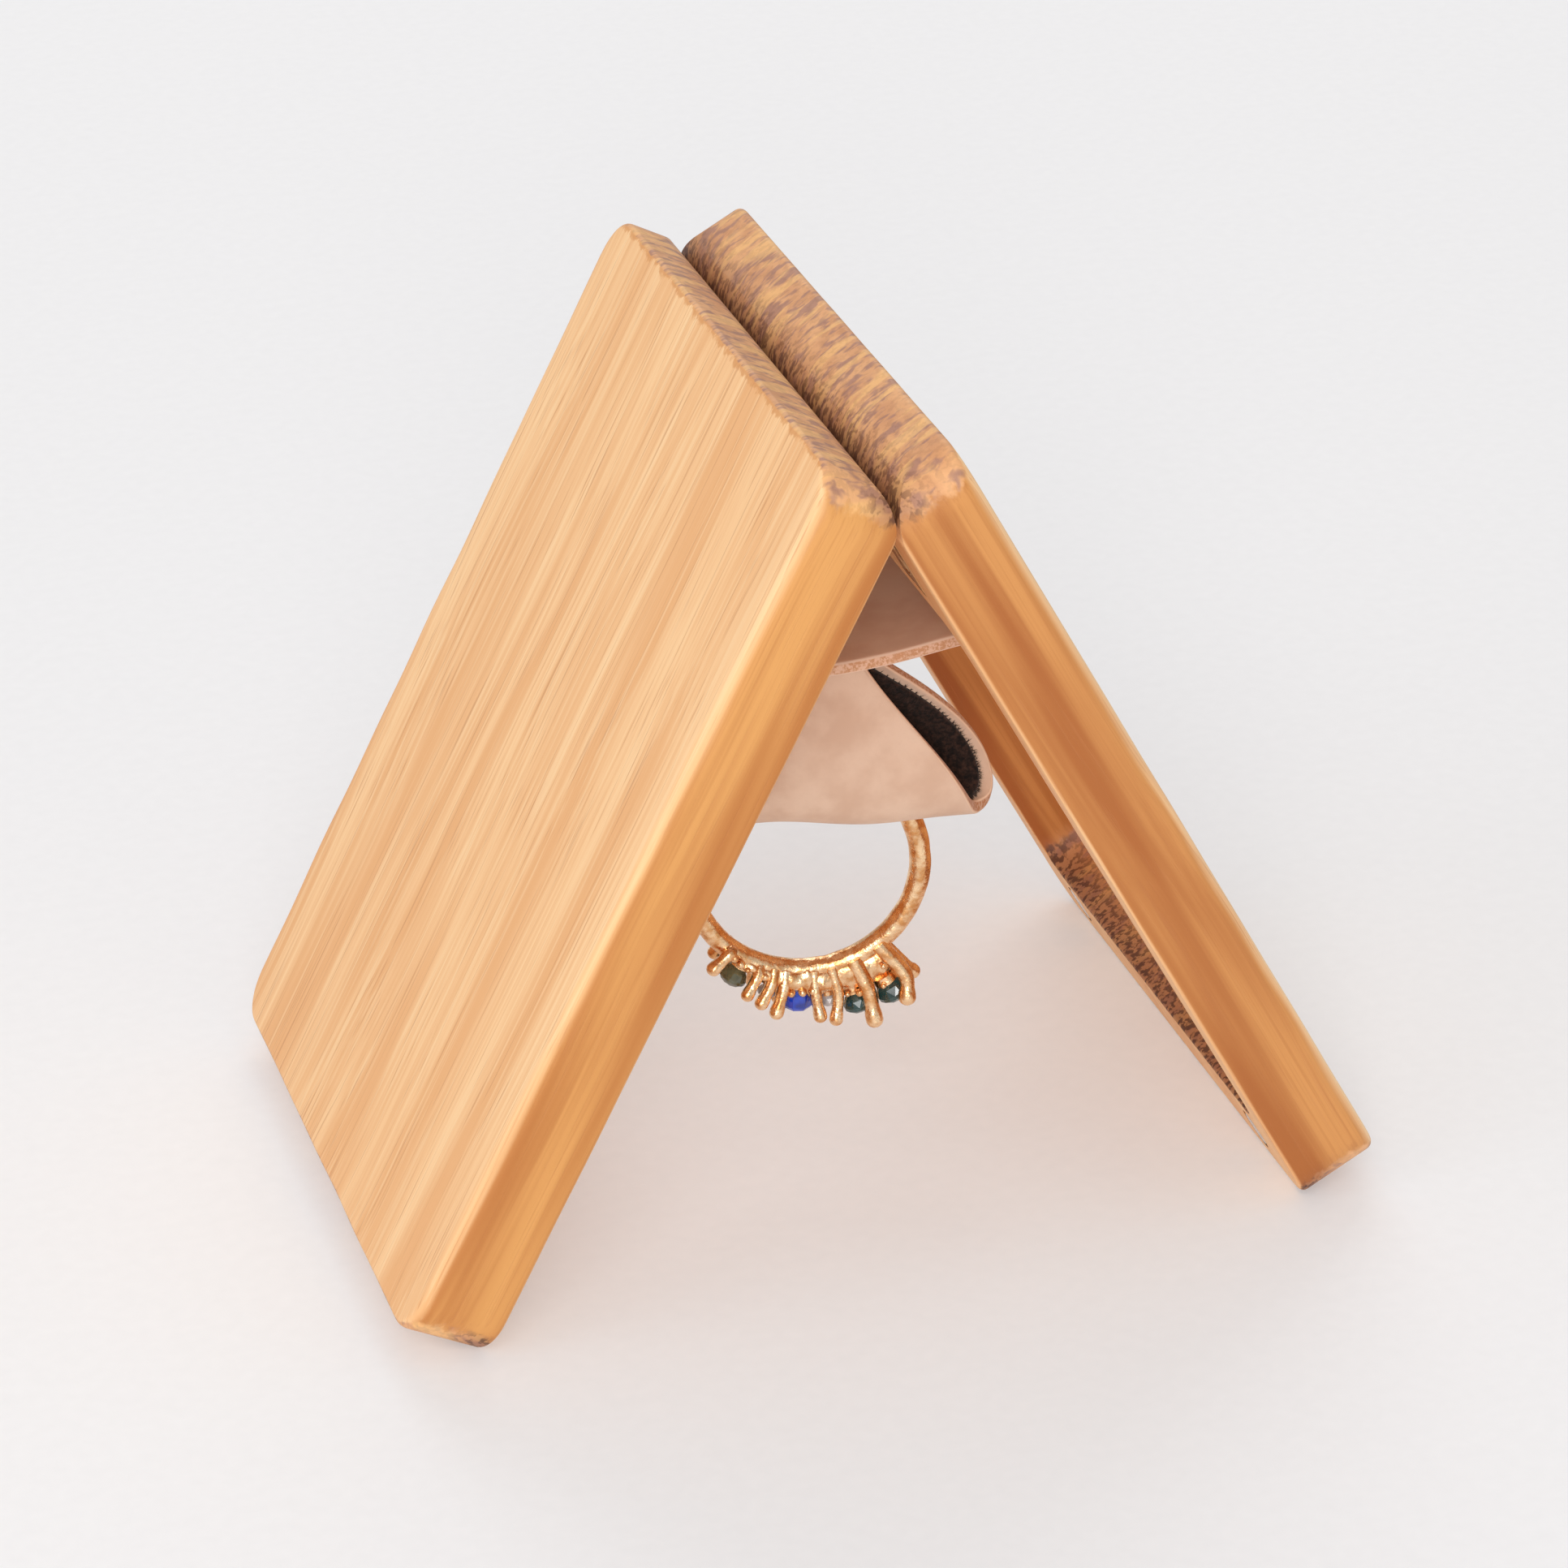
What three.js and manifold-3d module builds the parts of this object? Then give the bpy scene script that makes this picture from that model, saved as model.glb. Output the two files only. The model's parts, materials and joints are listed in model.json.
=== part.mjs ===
// A slim oak ring box, stood open as a tent with its hinges at the ridge. Two routed covers turn on two small
// brass butt hinges, a leather band joins them under the ridge and stops them opening further, and a folded
// leather loop below it holds a gold ring, which turns a quarter turn as the box shuts.
// Millimetres, +Z up. The ridge runs along Y, the floor is Z = 0, and the ridge stands over the origin.
import * as THREE from 'three';
import { mergeVertices } from 'three/addons/utils/BufferGeometryUtils.js';
import Module from 'manifold-3d';

const wasm = await Module();
wasm.setup();

// ---- driving dimensions -------------------------------------------------------------------------------
const halfOpening = THREE.MathUtils.degToRad(28);  // each cover's lean from upright
const fitGap = 0.3;                  // clearance between a piece and the cut or seat that holds it
const overcut = 2;                   // how far a cutting shape runs past the face it opens

const coverLength = 75;              // along the grain, ridge end to foot
const coverWidth = 56;
const coverThickness = 7;
const cornerRadius = 3.8;            // corners seen from the face
const arrisRadius = 0.5;             // eased edges
const ridgeRadius = 4.3;             // large round on the inner edge at the ridge, so that covers can turn
const faceGap = 0.25;                // from each inner face to the plane where the two covers meet
const pivotDrop = 3.35;              // hinge axis below the ridge end of a cover

const pocketDepth = 4.8;
const pocketSideMargin = 4.5;
const pocketFootMargin = 6.5;
const pocketHeadMargin = 15;
const pocketCornerRadius = 3;

const hingeSpacing = 34;             // between the middles of the two hinges
const leafWidth = 5;
const leafHeight = 9.5;              // from the hinge axis to the leaf's lower end
const leafThickness = 0.7;
const knuckleRadius = 1.5;
const sideKnuckleLength = 1.45;      // the front leaf's two knuckles, either side of the back leaf's one
const pinRadius = 0.5;

const screwHeadRadius = 1.25;
const screwShankRadius = 0.6;
const screwLength = 3.6;
const screwDepths = [3.9, 7.4];      // below the hinge axis
const screwSlot = 0.35;

const magnetRadius = 1.5;
const magnetThickness = 1.8;
const magnetSpacing = 40;
const magnetFootMargin = 3.6;        // magnet's middle above the foot of the cover

const leatherThickness = 1.1;
const bandWidth = 25;
const bandDepth = 17.1;              // middle of the band below the hinge axis
const bandTabTop = 12.9;             // glued ends of the band, measured down the cover from the hinge axis
const bandTabFoot = 18.5;
const bandTurn = [0.4, 1.5];         // from a tab's foot to the band's turn: off the pocket floor, and down
const bandSag = [[0.36, 0.2], [0.72, 0.75]];  // share of the half span, and the rise above the middle there

const loopYaw = THREE.MathUtils.degToRad(-10);  // turn of the loop and ring about the vertical
const loopOffset = -3.5;             // loop's axis from the middle of the box, along the ridge
const loopHeight = 16.85;            // fold to neck
const loopHalfThickness = 3.3;
const loopNeckHalfThickness = 1.3;
const loopNeckHalfLength = 3.4;
const loopHalfLength = 14.4;
const loopWidestAt = 0.3;            // share of the height, from the fold, where the loop is thickest
const loopCavityHeight = 12;
const leafCurve = 1.3;               // how full the leaf stays before it narrows
const liningThickness = 0.5;

const ringInnerRadius = 8.35;
const ringWireRadius = 0.87;
const ringDrop = 3.8;                // ring's centre below the loop's fold
const clawWireRadius = 0.42;
const clawTipRadius = 0.6;
const clawFootSpread = 0.3;          // claw to the side of the ring's plane: at the wire, rail and tip
const railSpread = 1.25;
const clawTipSpread = 1.7;
const railRadius = 0.4;
const railRise = 1.75;               // gallery rail beyond the ring wire's centre line, straight down
const railSlope = 0.04;              // more of that rise for each degree round the ring
// Claws and stones by their angle round the ring from straight down, in degrees, and by how far the claw's
// tip and the stone's girdle lie beyond the ring wire's centre line. The setting stands higher to one side.
const claws = [
  { angle: -43.5, reach: 1.7 }, { angle: -25, reach: 2.5 }, { angle: -17.5, reach: 2.6 },
  { angle: -11.5, reach: 3.5 }, { angle: 2.5, reach: 3.6 }, { angle: 11.5, reach: 4.5 },
  { angle: 23.2, reach: 5.5 }, { angle: 38, reach: 5.1 },
];
const stones = [
  { name: 'stone_olive', angle: -33, rise: 1.95, radius: 1.2, colour: 0x5d6a45 },
  { name: 'stone_clear_small', angle: -17, rise: 2.35, radius: 0.75, colour: 0xdfe3e6 },
  { name: 'stone_blue', angle: -4.3, rise: 2.85, radius: 1.3, colour: 0x1c3f9c },
  { name: 'stone_clear_round', angle: 7.8, rise: 3.2, radius: 0.75, colour: 0xdfe3e6 },
  { name: 'stone_teal_front', angle: 17.6, rise: 4.2, radius: 1.2, colour: 0x24484b },
  { name: 'stone_teal_end', angle: 30.5, rise: 4.5, radius: 1.45, colour: 0x24484b },
];
// The stone's outline in shares of its radius.
const stoneShape = { pavilion: 0.62, girdle: 0.06, lower: 0.97, crown: 0.4, table: 0.58 };

const cornerSteps = 6;
const arrisSteps = 3;
const bandSteps = 40;
const foldSteps = 14;
const foldCrowding = 1.6;            // crowds those steps towards the fold
const leafSteps = 12;
const railSteps = 10;
const stoneSides = 8;
const hoopSides = 8;
const roundSides = 24;
const smallSides = 12;
const clawSides = 6;
const hoopSteps = 36;

// ---- materials ----------------------------------------------------------------------------------------
const finish = (color, roughness, metalness = 0) => (
  new THREE.MeshStandardMaterial({ color, roughness, metalness }));
const oak = () => finish(0xd9a066, 0.55);
const brass = () => finish(0xd8b070, 0.25, 1);
const gold = () => finish(0xe0a860, 0.3, 1);
const nickel = () => finish(0xc8c8cc, 0.3, 1);
const leather = () => finish(0xcda98c, 0.7);
const suede = () => finish(0x1c1412, 0.95);

// ---- solids -------------------------------------------------------------------------------------------
function solid(geometry) {
  const bare = geometry.clone();
  bare.deleteAttribute('normal');
  bare.deleteAttribute('uv');
  const merged = mergeVertices(bare, 1e-4);
  return new wasm.Manifold(new wasm.Mesh({
    numProp: 3,
    vertProperties: new Float32Array(merged.attributes.position.array),
    triVerts: new Uint32Array(merged.index.array),
  }));
}

function geometryOf(manifold) {
  const mesh = manifold.getMesh();
  const geometry = new THREE.BufferGeometry();
  geometry.setAttribute('position', new THREE.BufferAttribute(mesh.vertProperties, 3));
  geometry.setIndex(new THREE.BufferAttribute(mesh.triVerts, 1));
  geometry.computeVertexNormals();
  return geometry;
}

const cut = (geometry, cutters) => (
  geometryOf(cutters.reduce((left, cutter) => left.subtract(solid(cutter)), solid(geometry))));
const join = (pieces) => (
  geometryOf(pieces.slice(1).reduce((sum, piece) => sum.add(solid(piece)), solid(pieces[0]))));
const overlapOf = (first, second) => geometryOf(solid(first).intersect(solid(second)));

// A box from its lowest and highest corners.
function block(low, high) {
  const size = high.map((value, axis) => value - low[axis]);
  const middle = high.map((value, axis) => (value + low[axis]) / 2);
  return new THREE.BoxGeometry(...size).translate(...middle);
}

// A round bar along Y or X, centred on a point.
const barAlongY = (radius, length, centre, sides = roundSides) => (
  new THREE.CylinderGeometry(radius, radius, length, sides).translate(...centre));
const barAlongX = (radius, length, centre, sides = roundSides) => (
  new THREE.CylinderGeometry(radius, radius, length, sides).rotateZ(Math.PI / 2).translate(...centre));

// Shape drawn in Y and Z, carried along X from `start`, with eased edges when `ease` is given.
function carriedAlongX(shape, start, length, ease = 0) {
  const settings = ease > 0
    ? { depth: length - 2 * ease, bevelSize: ease, bevelThickness: ease, bevelOffset: -ease,
      bevelSegments: arrisSteps }
    : { depth: length, bevelEnabled: false };
  const turnAxes = new THREE.Matrix4().makeBasis(
    new THREE.Vector3(0, 1, 0), new THREE.Vector3(0, 0, 1), new THREE.Vector3(1, 0, 0));
  const geometry = new THREE.ExtrudeGeometry(shape, { curveSegments: cornerSteps, ...settings });
  return geometry.translate(0, 0, ease).applyMatrix4(turnAxes).translate(start, 0, 0);
}

// Shape drawn in X and Z, carried along Y and centred on `middle`.
function carriedAlongY(shape, length, middle = 0) {
  const geometry = new THREE.ExtrudeGeometry(
    shape, { curveSegments: cornerSteps, depth: length, bevelEnabled: false });
  return geometry.rotateX(Math.PI / 2).translate(0, middle + length / 2, 0);
}

function roundedRectangle(left, right, bottom, top, radius) {
  const shape = new THREE.Shape();
  const quarter = Math.PI / 2;
  shape.absarc(right - radius, top - radius, radius, 0, quarter);
  shape.absarc(left + radius, top - radius, radius, quarter, 2 * quarter);
  shape.absarc(left + radius, bottom + radius, radius, 2 * quarter, 3 * quarter);
  shape.absarc(right - radius, bottom + radius, radius, 3 * quarter, 4 * quarter);
  shape.closePath();
  return shape;
}

// ---- the covers ---------------------------------------------------------------------------------------
// Both covers are drawn upright, as in the shut box, on the +X side of the plane where they meet, with the
// hinge axis on the Y axis. The front one is then turned half round to the -X side.
const headZ = pivotDrop;
const footZ = pivotDrop - coverLength;
const innerX = faceGap;
const pocketFloorX = faceGap + pocketDepth;
const hingePlaces = [-hingeSpacing / 2, hingeSpacing / 2];
const magnetPlaces = [-magnetSpacing / 2, magnetSpacing / 2];
const magnetZ = footZ + magnetFootMargin;

function ridgeRoundCutter() {
  const shape = new THREE.Shape();
  shape.moveTo(innerX - overcut, headZ - ridgeRadius);
  shape.lineTo(innerX, headZ - ridgeRadius);
  shape.absarc(innerX + ridgeRadius, headZ - ridgeRadius, ridgeRadius, Math.PI, Math.PI / 2, true);
  shape.lineTo(innerX + ridgeRadius, headZ + overcut);
  shape.lineTo(innerX - overcut, headZ + overcut);
  shape.closePath();
  return carriedAlongY(shape, coverWidth + 2 * overcut);
}

function hingeSeatCutters(y) {
  const halfWidth = leafWidth / 2 + fitGap;
  const seatDepth = innerX + leafThickness + fitGap;
  const mortise = block(
    [innerX - overcut, y - halfWidth, -leafHeight - fitGap], [seatDepth, y + halfWidth, 0]);
  const knuckleNotch = barAlongY(knuckleRadius + fitGap, 2 * halfWidth, [0, y, 0]);
  const holeLength = screwLength + fitGap;
  const screwHoles = screwDepths.map((depth) => (
    barAlongX(screwShankRadius + fitGap, holeLength, [innerX + holeLength / 2, y, -depth], smallSides)));
  return [mortise, knuckleNotch, ...screwHoles];
}

function coverGeometry() {
  const halfWidth = coverWidth / 2;
  const blank = carriedAlongX(
    roundedRectangle(-halfWidth, halfWidth, footZ, headZ, cornerRadius), innerX, coverThickness, arrisRadius);
  const pocketOutline = roundedRectangle(
    pocketSideMargin - halfWidth, halfWidth - pocketSideMargin,
    footZ + pocketFootMargin, headZ - pocketHeadMargin, pocketCornerRadius);
  const pocket = carriedAlongX(pocketOutline, innerX - overcut, pocketDepth + overcut);
  const holeDepth = magnetThickness + fitGap;
  const magnetHoles = magnetPlaces.map((y) => barAlongX(
    magnetRadius + fitGap, holeDepth + overcut, [innerX + (holeDepth - overcut) / 2, y, magnetZ]));
  return cut(blank, [ridgeRoundCutter(), pocket, ...magnetHoles, ...hingePlaces.flatMap(hingeSeatCutters)]);
}

// ---- the hinges ---------------------------------------------------------------------------------------
const middleKnuckleLength = leafWidth - 2 * (sideKnuckleLength + fitGap);
const frontKnuckles = [-1, 1].map((side) => ({
  middle: side * (leafWidth - sideKnuckleLength) / 2, length: sideKnuckleLength }));
const backKnuckles = [{ middle: 0, length: middleKnuckleLength }];

// Turned screw, drawn along +X from the face of its head, which is flush with the leaf.
function screwBody(extra) {
  const outline = [
    [0, 0], [screwHeadRadius + extra, 0], [screwShankRadius + extra, leafThickness],
    [screwShankRadius + extra, screwLength - screwShankRadius], [0, screwLength],
  ].map(([radius, along]) => new THREE.Vector2(radius, along));
  return new THREE.LatheGeometry(outline, smallSides).rotateZ(-Math.PI / 2).rotateX(Math.PI);
}

function leafGeometry(y, knuckles) {
  const lowX = innerX;
  const highX = innerX + leafThickness;
  const clearRadius = knuckleRadius + fitGap;
  const plate = cut(
    block([lowX, y - leafWidth / 2, -leafHeight], [highX, y + leafWidth / 2, 0]),
    [barAlongY(clearRadius, leafWidth + overcut, [0, y, 0])]);
  const necks = knuckles.map(({ middle, length }) => (
    block([lowX, y + middle - length / 2, -2 * clearRadius], [highX, y + middle + length / 2, 0])));
  const barrels = knuckles.map(({ middle, length }) => barAlongY(knuckleRadius, length, [0, y + middle, 0]));
  const pinBore = barAlongY(pinRadius + fitGap, leafWidth + overcut, [0, y, 0], smallSides);
  const screwHoles = screwDepths.map((depth) => screwBody(fitGap).translate(innerX, y, -depth));
  return cut(join([plate, ...necks, ...barrels]), [pinBore, ...screwHoles]);
}

function screwGeometry(y, depth) {
  const screw = screwBody(0).translate(innerX, y, -depth);
  const reach = screwHeadRadius + overcut;
  const halfSlot = screwSlot / 2;
  const slot = block(
    [innerX - overcut, y - halfSlot, -depth - reach], [innerX + screwSlot, y + halfSlot, -depth + reach]);
  return cut(screw, [slot]);
}

// ---- the leather --------------------------------------------------------------------------------------
// Outline of a sheet of one thickness whose middle follows a line of points.
function sheetOutline(points, thickness) {
  const half = thickness / 2;
  const sides = [[], []];
  points.forEach((point, index) => {
    const before = points[Math.max(index - 1, 0)];
    const after = points[Math.min(index + 1, points.length - 1)];
    const across = after.clone().sub(before).normalize().rotateAround(new THREE.Vector2(), Math.PI / 2);
    sides[0].push(point.clone().addScaledVector(across, half));
    sides[1].unshift(point.clone().addScaledVector(across, -half));
  });
  return new THREE.Shape([...sides[0], ...sides[1]]);
}

// A place on the open back cover, from its distance out from the meeting plane and down from the hinge axis.
function onOpenCover(out, down) {
  const lean = new THREE.Vector2(Math.cos(halfOpening), Math.sin(halfOpening)).multiplyScalar(out);
  return lean.add(new THREE.Vector2(Math.sin(halfOpening), -Math.cos(halfOpening)).multiplyScalar(down));
}

// The band is glued to both pocket floors, turns off them, and crosses the box in a shallow sag.
function bandGeometry() {
  const tabOut = pocketFloorX - fitGap - leatherThickness / 2;
  const bend = onOpenCover(tabOut - bandTurn[0], bandTabFoot + bandTurn[1]);
  const rightHalf = [
    ...bandSag.map(([share, rise]) => new THREE.Vector2(bend.x * share, rise - bandDepth)),
    bend,
    onOpenCover(tabOut, bandTabFoot),
    onOpenCover(tabOut, bandTabTop),
  ];
  const leftHalf = rightHalf.map((point) => new THREE.Vector2(-point.x, point.y)).reverse();
  const middle = new THREE.Vector2(0, -bandDepth);
  const line = new THREE.SplineCurve([...leftHalf, middle, ...rightHalf]).getPoints(bandSteps);
  return carriedAlongY(sheetOutline(line, leatherThickness), bandWidth);
}

// Half the thickness of a hanging fold, from its height above the fold: a quarter ellipse up to its widest
// place, then a smooth narrowing to the neck.
function foldHalfThickness(height, fullHeight, widest, neck) {
  const share = height / fullHeight;
  if (share < loopWidestAt) {
    return widest * Math.sqrt(1 - (1 - share / loopWidestAt) ** 2);
  }
  const towardsNeck = (share - loopWidestAt) / (1 - loopWidestAt);
  return neck + (widest - neck) * (1 + Math.cos(Math.PI * towardsNeck)) / 2;
}

function foldOutline(foot, height, widest, neck) {
  const right = [];
  for (let step = 1; step <= foldSteps; step += 1) {
    const rise = height * (step / foldSteps) ** foldCrowding;
    right.push(new THREE.Vector2(foldHalfThickness(rise, height, widest, neck), foot + rise));
  }
  const left = right.map((point) => new THREE.Vector2(-point.x, point.y)).reverse();
  if (neck === 0) {
    left.shift();
  }
  return [new THREE.Vector2(0, foot), ...right, ...left];
}

// A hanging fold of one material, open at both ends and slit along the fold for the ring to pass.
function foldedSheet(outer, inner, slit) {
  const shape = new THREE.Shape(outer);
  shape.holes.push(new THREE.Path(inner));
  const reach = loopHalfLength + overcut;
  const tube = carriedAlongX(shape, -reach, 2 * reach);
  return cut(overlapOf(tube, leafOutlinePrism()), [slit]);
}

// The flat cut of the loop: a wide rounded foot at the fold, narrowing in a gentle S to the neck.
function leafOutlinePrism() {
  const right = [];
  for (let step = 0; step <= leafSteps; step += 1) {
    const share = step / leafSteps;
    const fullness = Math.cos(Math.PI * share / 2) ** leafCurve;
    const length = loopNeckHalfLength + (loopHalfLength - loopNeckHalfLength) * fullness;
    right.push(new THREE.Vector2(length, -overcut + (loopHeight + 2 * overcut) * share));
  }
  const left = right.map((point) => new THREE.Vector2(-point.x, point.y)).reverse();
  return carriedAlongY(new THREE.Shape([...right, ...left]), 4 * loopHalfThickness);
}

const ringWireCentre = ringInnerRadius + ringWireRadius;

function ringSlit() {
  const ringOuter = ringWireCentre + ringWireRadius;
  const halfLength = Math.sqrt(ringOuter ** 2 - ringDrop ** 2) + 2 * fitGap;
  const halfWidth = ringWireRadius + fitGap;
  const top = leatherThickness + liningThickness + 2 * overcut;
  return block([-halfLength, -halfWidth, -overcut], [halfLength, halfWidth, top]);
}

function loopGeometry() {
  const inner = foldOutline(leatherThickness, loopCavityHeight, loopHalfThickness - leatherThickness, 0);
  const outer = foldOutline(0, loopHeight, loopHalfThickness, loopNeckHalfThickness);
  return foldedSheet(outer, inner, ringSlit());
}

function liningGeometry() {
  const seat = leatherThickness + fitGap;
  const height = loopCavityHeight - 3 * fitGap;
  const outer = foldOutline(seat, height, loopHalfThickness - seat, 0);
  const inside = seat + liningThickness;
  const inner = foldOutline(inside, height - 3 * liningThickness, loopHalfThickness - inside, 0);
  return foldedSheet(outer, inner, ringSlit());
}

// ---- the ring -----------------------------------------------------------------------------------------
// A place round the ring: an angle from straight down, a distance from the ring's centre, and a distance to
// the side of its plane.
function roundRing(degrees, distance, side = 0) {
  const angle = THREE.MathUtils.degToRad(degrees);
  return new THREE.Vector3(distance * Math.sin(angle), side, -distance * Math.cos(angle));
}

function wireBetween(start, end, radius, sides) {
  const along = end.clone().sub(start);
  const barAxis = new THREE.Vector3(0, 1, 0);
  const turn = new THREE.Quaternion().setFromUnitVectors(barAxis, along.clone().normalize());
  const middle = start.clone().add(end).multiplyScalar(0.5);
  return new THREE.CylinderGeometry(radius, radius, along.length(), sides)
    .applyQuaternion(turn).translate(...middle.toArray());
}

const railDistance = (degrees) => ringWireCentre + railRise + railSlope * degrees;

function clawPieces({ angle, reach }, side) {
  const foot = roundRing(angle, ringWireCentre, side * clawFootSpread);
  const knee = roundRing(angle, railDistance(angle), side * railSpread);
  const tip = roundRing(angle, ringWireCentre + reach, side * clawTipSpread);
  const ball = new THREE.IcosahedronGeometry(clawTipRadius, 1).translate(...tip.toArray());
  const joint = new THREE.IcosahedronGeometry(clawWireRadius, 0).translate(...knee.toArray());
  return [
    wireBetween(foot, knee, clawWireRadius, clawSides), joint,
    wireBetween(knee, tip, clawWireRadius, clawSides), ball,
  ];
}

function railPieces(side) {
  const first = claws[0].angle;
  const sweep = claws[claws.length - 1].angle - first;
  const points = [];
  for (let step = 0; step <= railSteps; step += 1) {
    const degrees = first + sweep * step / railSteps;
    points.push(roundRing(degrees, railDistance(degrees), side * railSpread));
  }
  const section = new THREE.Shape().absarc(0, 0, railRadius, 0, 2 * Math.PI);
  const path = new THREE.CatmullRomCurve3(points);
  return new THREE.ExtrudeGeometry(
    section, { extrudePath: path, steps: railSteps, curveSegments: clawSides, bevelEnabled: false });
}

function goldRingGeometry() {
  const hoop = new THREE.TorusGeometry(ringWireCentre, ringWireRadius, hoopSides, hoopSteps);
  const setting = claws.flatMap((claw) => [-1, 1].flatMap((side) => clawPieces(claw, side)));
  return join([hoop.rotateX(Math.PI / 2), railPieces(-1), railPieces(1), ...setting]);
}

// A round-cut stone: point towards the ring, girdle, and a flat table facing away from it.
function stoneGeometry({ angle, rise, radius }) {
  const { pavilion, girdle, lower, crown, table } = stoneShape;
  const outline = [
    [0, -pavilion], [lower, -girdle], [1, girdle], [table, crown], [0, crown],
  ].map(([out, along]) => new THREE.Vector2(out * radius, along * radius));
  const seat = roundRing(angle, ringWireCentre + rise);
  const outwards = roundRing(angle, 1);
  const turn = new THREE.Quaternion().setFromUnitVectors(new THREE.Vector3(0, 1, 0), outwards);
  return new THREE.LatheGeometry(outline, stoneSides).applyQuaternion(turn).translate(...seat.toArray());
}

// ---- assembly -----------------------------------------------------------------------------------------
function mesh(name, geometry, material) {
  const piece = new THREE.Mesh(geometry, material);
  piece.name = name;
  return piece;
}

// The ridge's height is the one that sets the feet of the leaning covers on the floor.
const cover = coverGeometry();
const leaningCover = cover.clone().rotateY(-halfOpening);
leaningCover.computeBoundingBox();
const pivotHeight = -leaningCover.boundingBox.min.z;

// One cover with what is fixed to it. `turn` is -1 for the half that is then turned round, so that pieces
// with the same number meet.
function coverHalf(half, knuckles, turn) {
  const pieces = [mesh(`${half}_cover`, cover.clone(), oak())];
  hingePlaces.forEach((place, index) => {
    const y = turn * place;
    const hinge = `hinge_${index + 1}`;
    pieces.push(mesh(`${hinge}_${half}_leaf`, leafGeometry(y, knuckles), brass()));
    screwDepths.forEach((depth, row) => {
      const height = row === 0 ? 'upper' : 'lower';
      pieces.push(mesh(`${hinge}_${half}_screw_${height}`, screwGeometry(y, depth), brass()));
    });
  });
  magnetPlaces.forEach((place, index) => {
    const centre = [innerX + magnetThickness / 2, turn * place, magnetZ];
    const disc = barAlongX(magnetRadius, magnetThickness, centre);
    pieces.push(mesh(`${half}_magnet_${index + 1}`, disc, nickel()));
  });
  return pieces;
}

const ringBox = new THREE.Group();

const backHalf = new THREE.Group();
backHalf.rotation.y = -halfOpening;
backHalf.position.z = pivotHeight;
backHalf.add(...coverHalf('back', backKnuckles, 1));

const frontHalf = new THREE.Group();
frontHalf.rotation.y = halfOpening;
frontHalf.position.z = pivotHeight;
const turnedAbout = new THREE.Group();
turnedAbout.rotation.z = Math.PI;
turnedAbout.add(...coverHalf('front', frontKnuckles, -1));
frontHalf.add(turnedAbout);
hingePlaces.forEach((y, index) => {
  const pin = barAlongY(pinRadius, leafWidth, [0, y, 0], smallSides);
  frontHalf.add(mesh(`hinge_${index + 1}_pin`, pin, brass()));
});

const band = mesh('leather_band', bandGeometry(), leather());
band.position.z = pivotHeight;

const loop = new THREE.Group();
loop.position.set(0, loopOffset, pivotHeight - bandDepth - leatherThickness / 2 - fitGap - loopHeight);
loop.rotation.z = loopYaw;
loop.add(mesh('ring_loop', loopGeometry(), leather()), mesh('loop_lining', liningGeometry(), suede()));

const ring = new THREE.Group();
ring.position.z = -ringDrop;
ring.add(mesh('gold_ring', goldRingGeometry(), gold()));
stones.forEach((stone) => ring.add(mesh(stone.name, stoneGeometry(stone), finish(stone.colour, 0.1))));
loop.add(ring);

ringBox.add(backHalf, frontHalf, band, loop);

export default ringBox;
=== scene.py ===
# %% [markdown]
# # A slim oak ring box, stood open as a tent
# Two routed oak covers turn on two brass butt hinges at the ridge. A leather band joins them inside, and a
# folded leather loop hangs from it and holds a gold ring with small stones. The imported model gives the
# frame: the bodies, the joints and the place of every part. This script builds the looks around it, piece by
# piece, in metres, and every piece is left where the frame says it is.

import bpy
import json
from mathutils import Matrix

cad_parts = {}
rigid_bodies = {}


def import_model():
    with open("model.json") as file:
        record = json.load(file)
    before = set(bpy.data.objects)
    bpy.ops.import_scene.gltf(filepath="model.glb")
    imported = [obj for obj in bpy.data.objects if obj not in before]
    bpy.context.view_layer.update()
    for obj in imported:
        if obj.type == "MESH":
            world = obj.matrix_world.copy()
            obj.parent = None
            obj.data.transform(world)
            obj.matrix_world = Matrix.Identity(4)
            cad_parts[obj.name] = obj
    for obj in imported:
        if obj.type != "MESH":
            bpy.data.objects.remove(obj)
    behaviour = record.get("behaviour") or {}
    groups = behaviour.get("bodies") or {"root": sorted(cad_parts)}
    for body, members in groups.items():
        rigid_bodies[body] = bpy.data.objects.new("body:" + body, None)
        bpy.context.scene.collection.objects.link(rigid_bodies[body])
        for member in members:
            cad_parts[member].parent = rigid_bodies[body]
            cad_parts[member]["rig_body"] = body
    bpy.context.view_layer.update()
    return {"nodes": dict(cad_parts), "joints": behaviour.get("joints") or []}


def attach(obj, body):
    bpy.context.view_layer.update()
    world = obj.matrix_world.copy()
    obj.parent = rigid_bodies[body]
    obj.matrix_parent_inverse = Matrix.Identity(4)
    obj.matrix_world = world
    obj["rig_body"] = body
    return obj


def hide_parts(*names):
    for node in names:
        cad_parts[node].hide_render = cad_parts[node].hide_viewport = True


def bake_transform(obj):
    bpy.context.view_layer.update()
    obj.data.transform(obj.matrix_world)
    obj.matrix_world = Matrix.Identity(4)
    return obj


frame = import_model()

# %% [markdown]
# ## The camera
# The camera is set by where it looks and from how far, as a photographer would set it: an aim, an azimuth,
# an elevation, a slight roll of the head and a long lens. The matrix is built from those angles, because a
# roll is easier to read there than in three Euler numbers.

# %% Camera
import json
import math

import bmesh
import bpy
import numpy as np
from mathutils import Matrix, Vector

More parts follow.
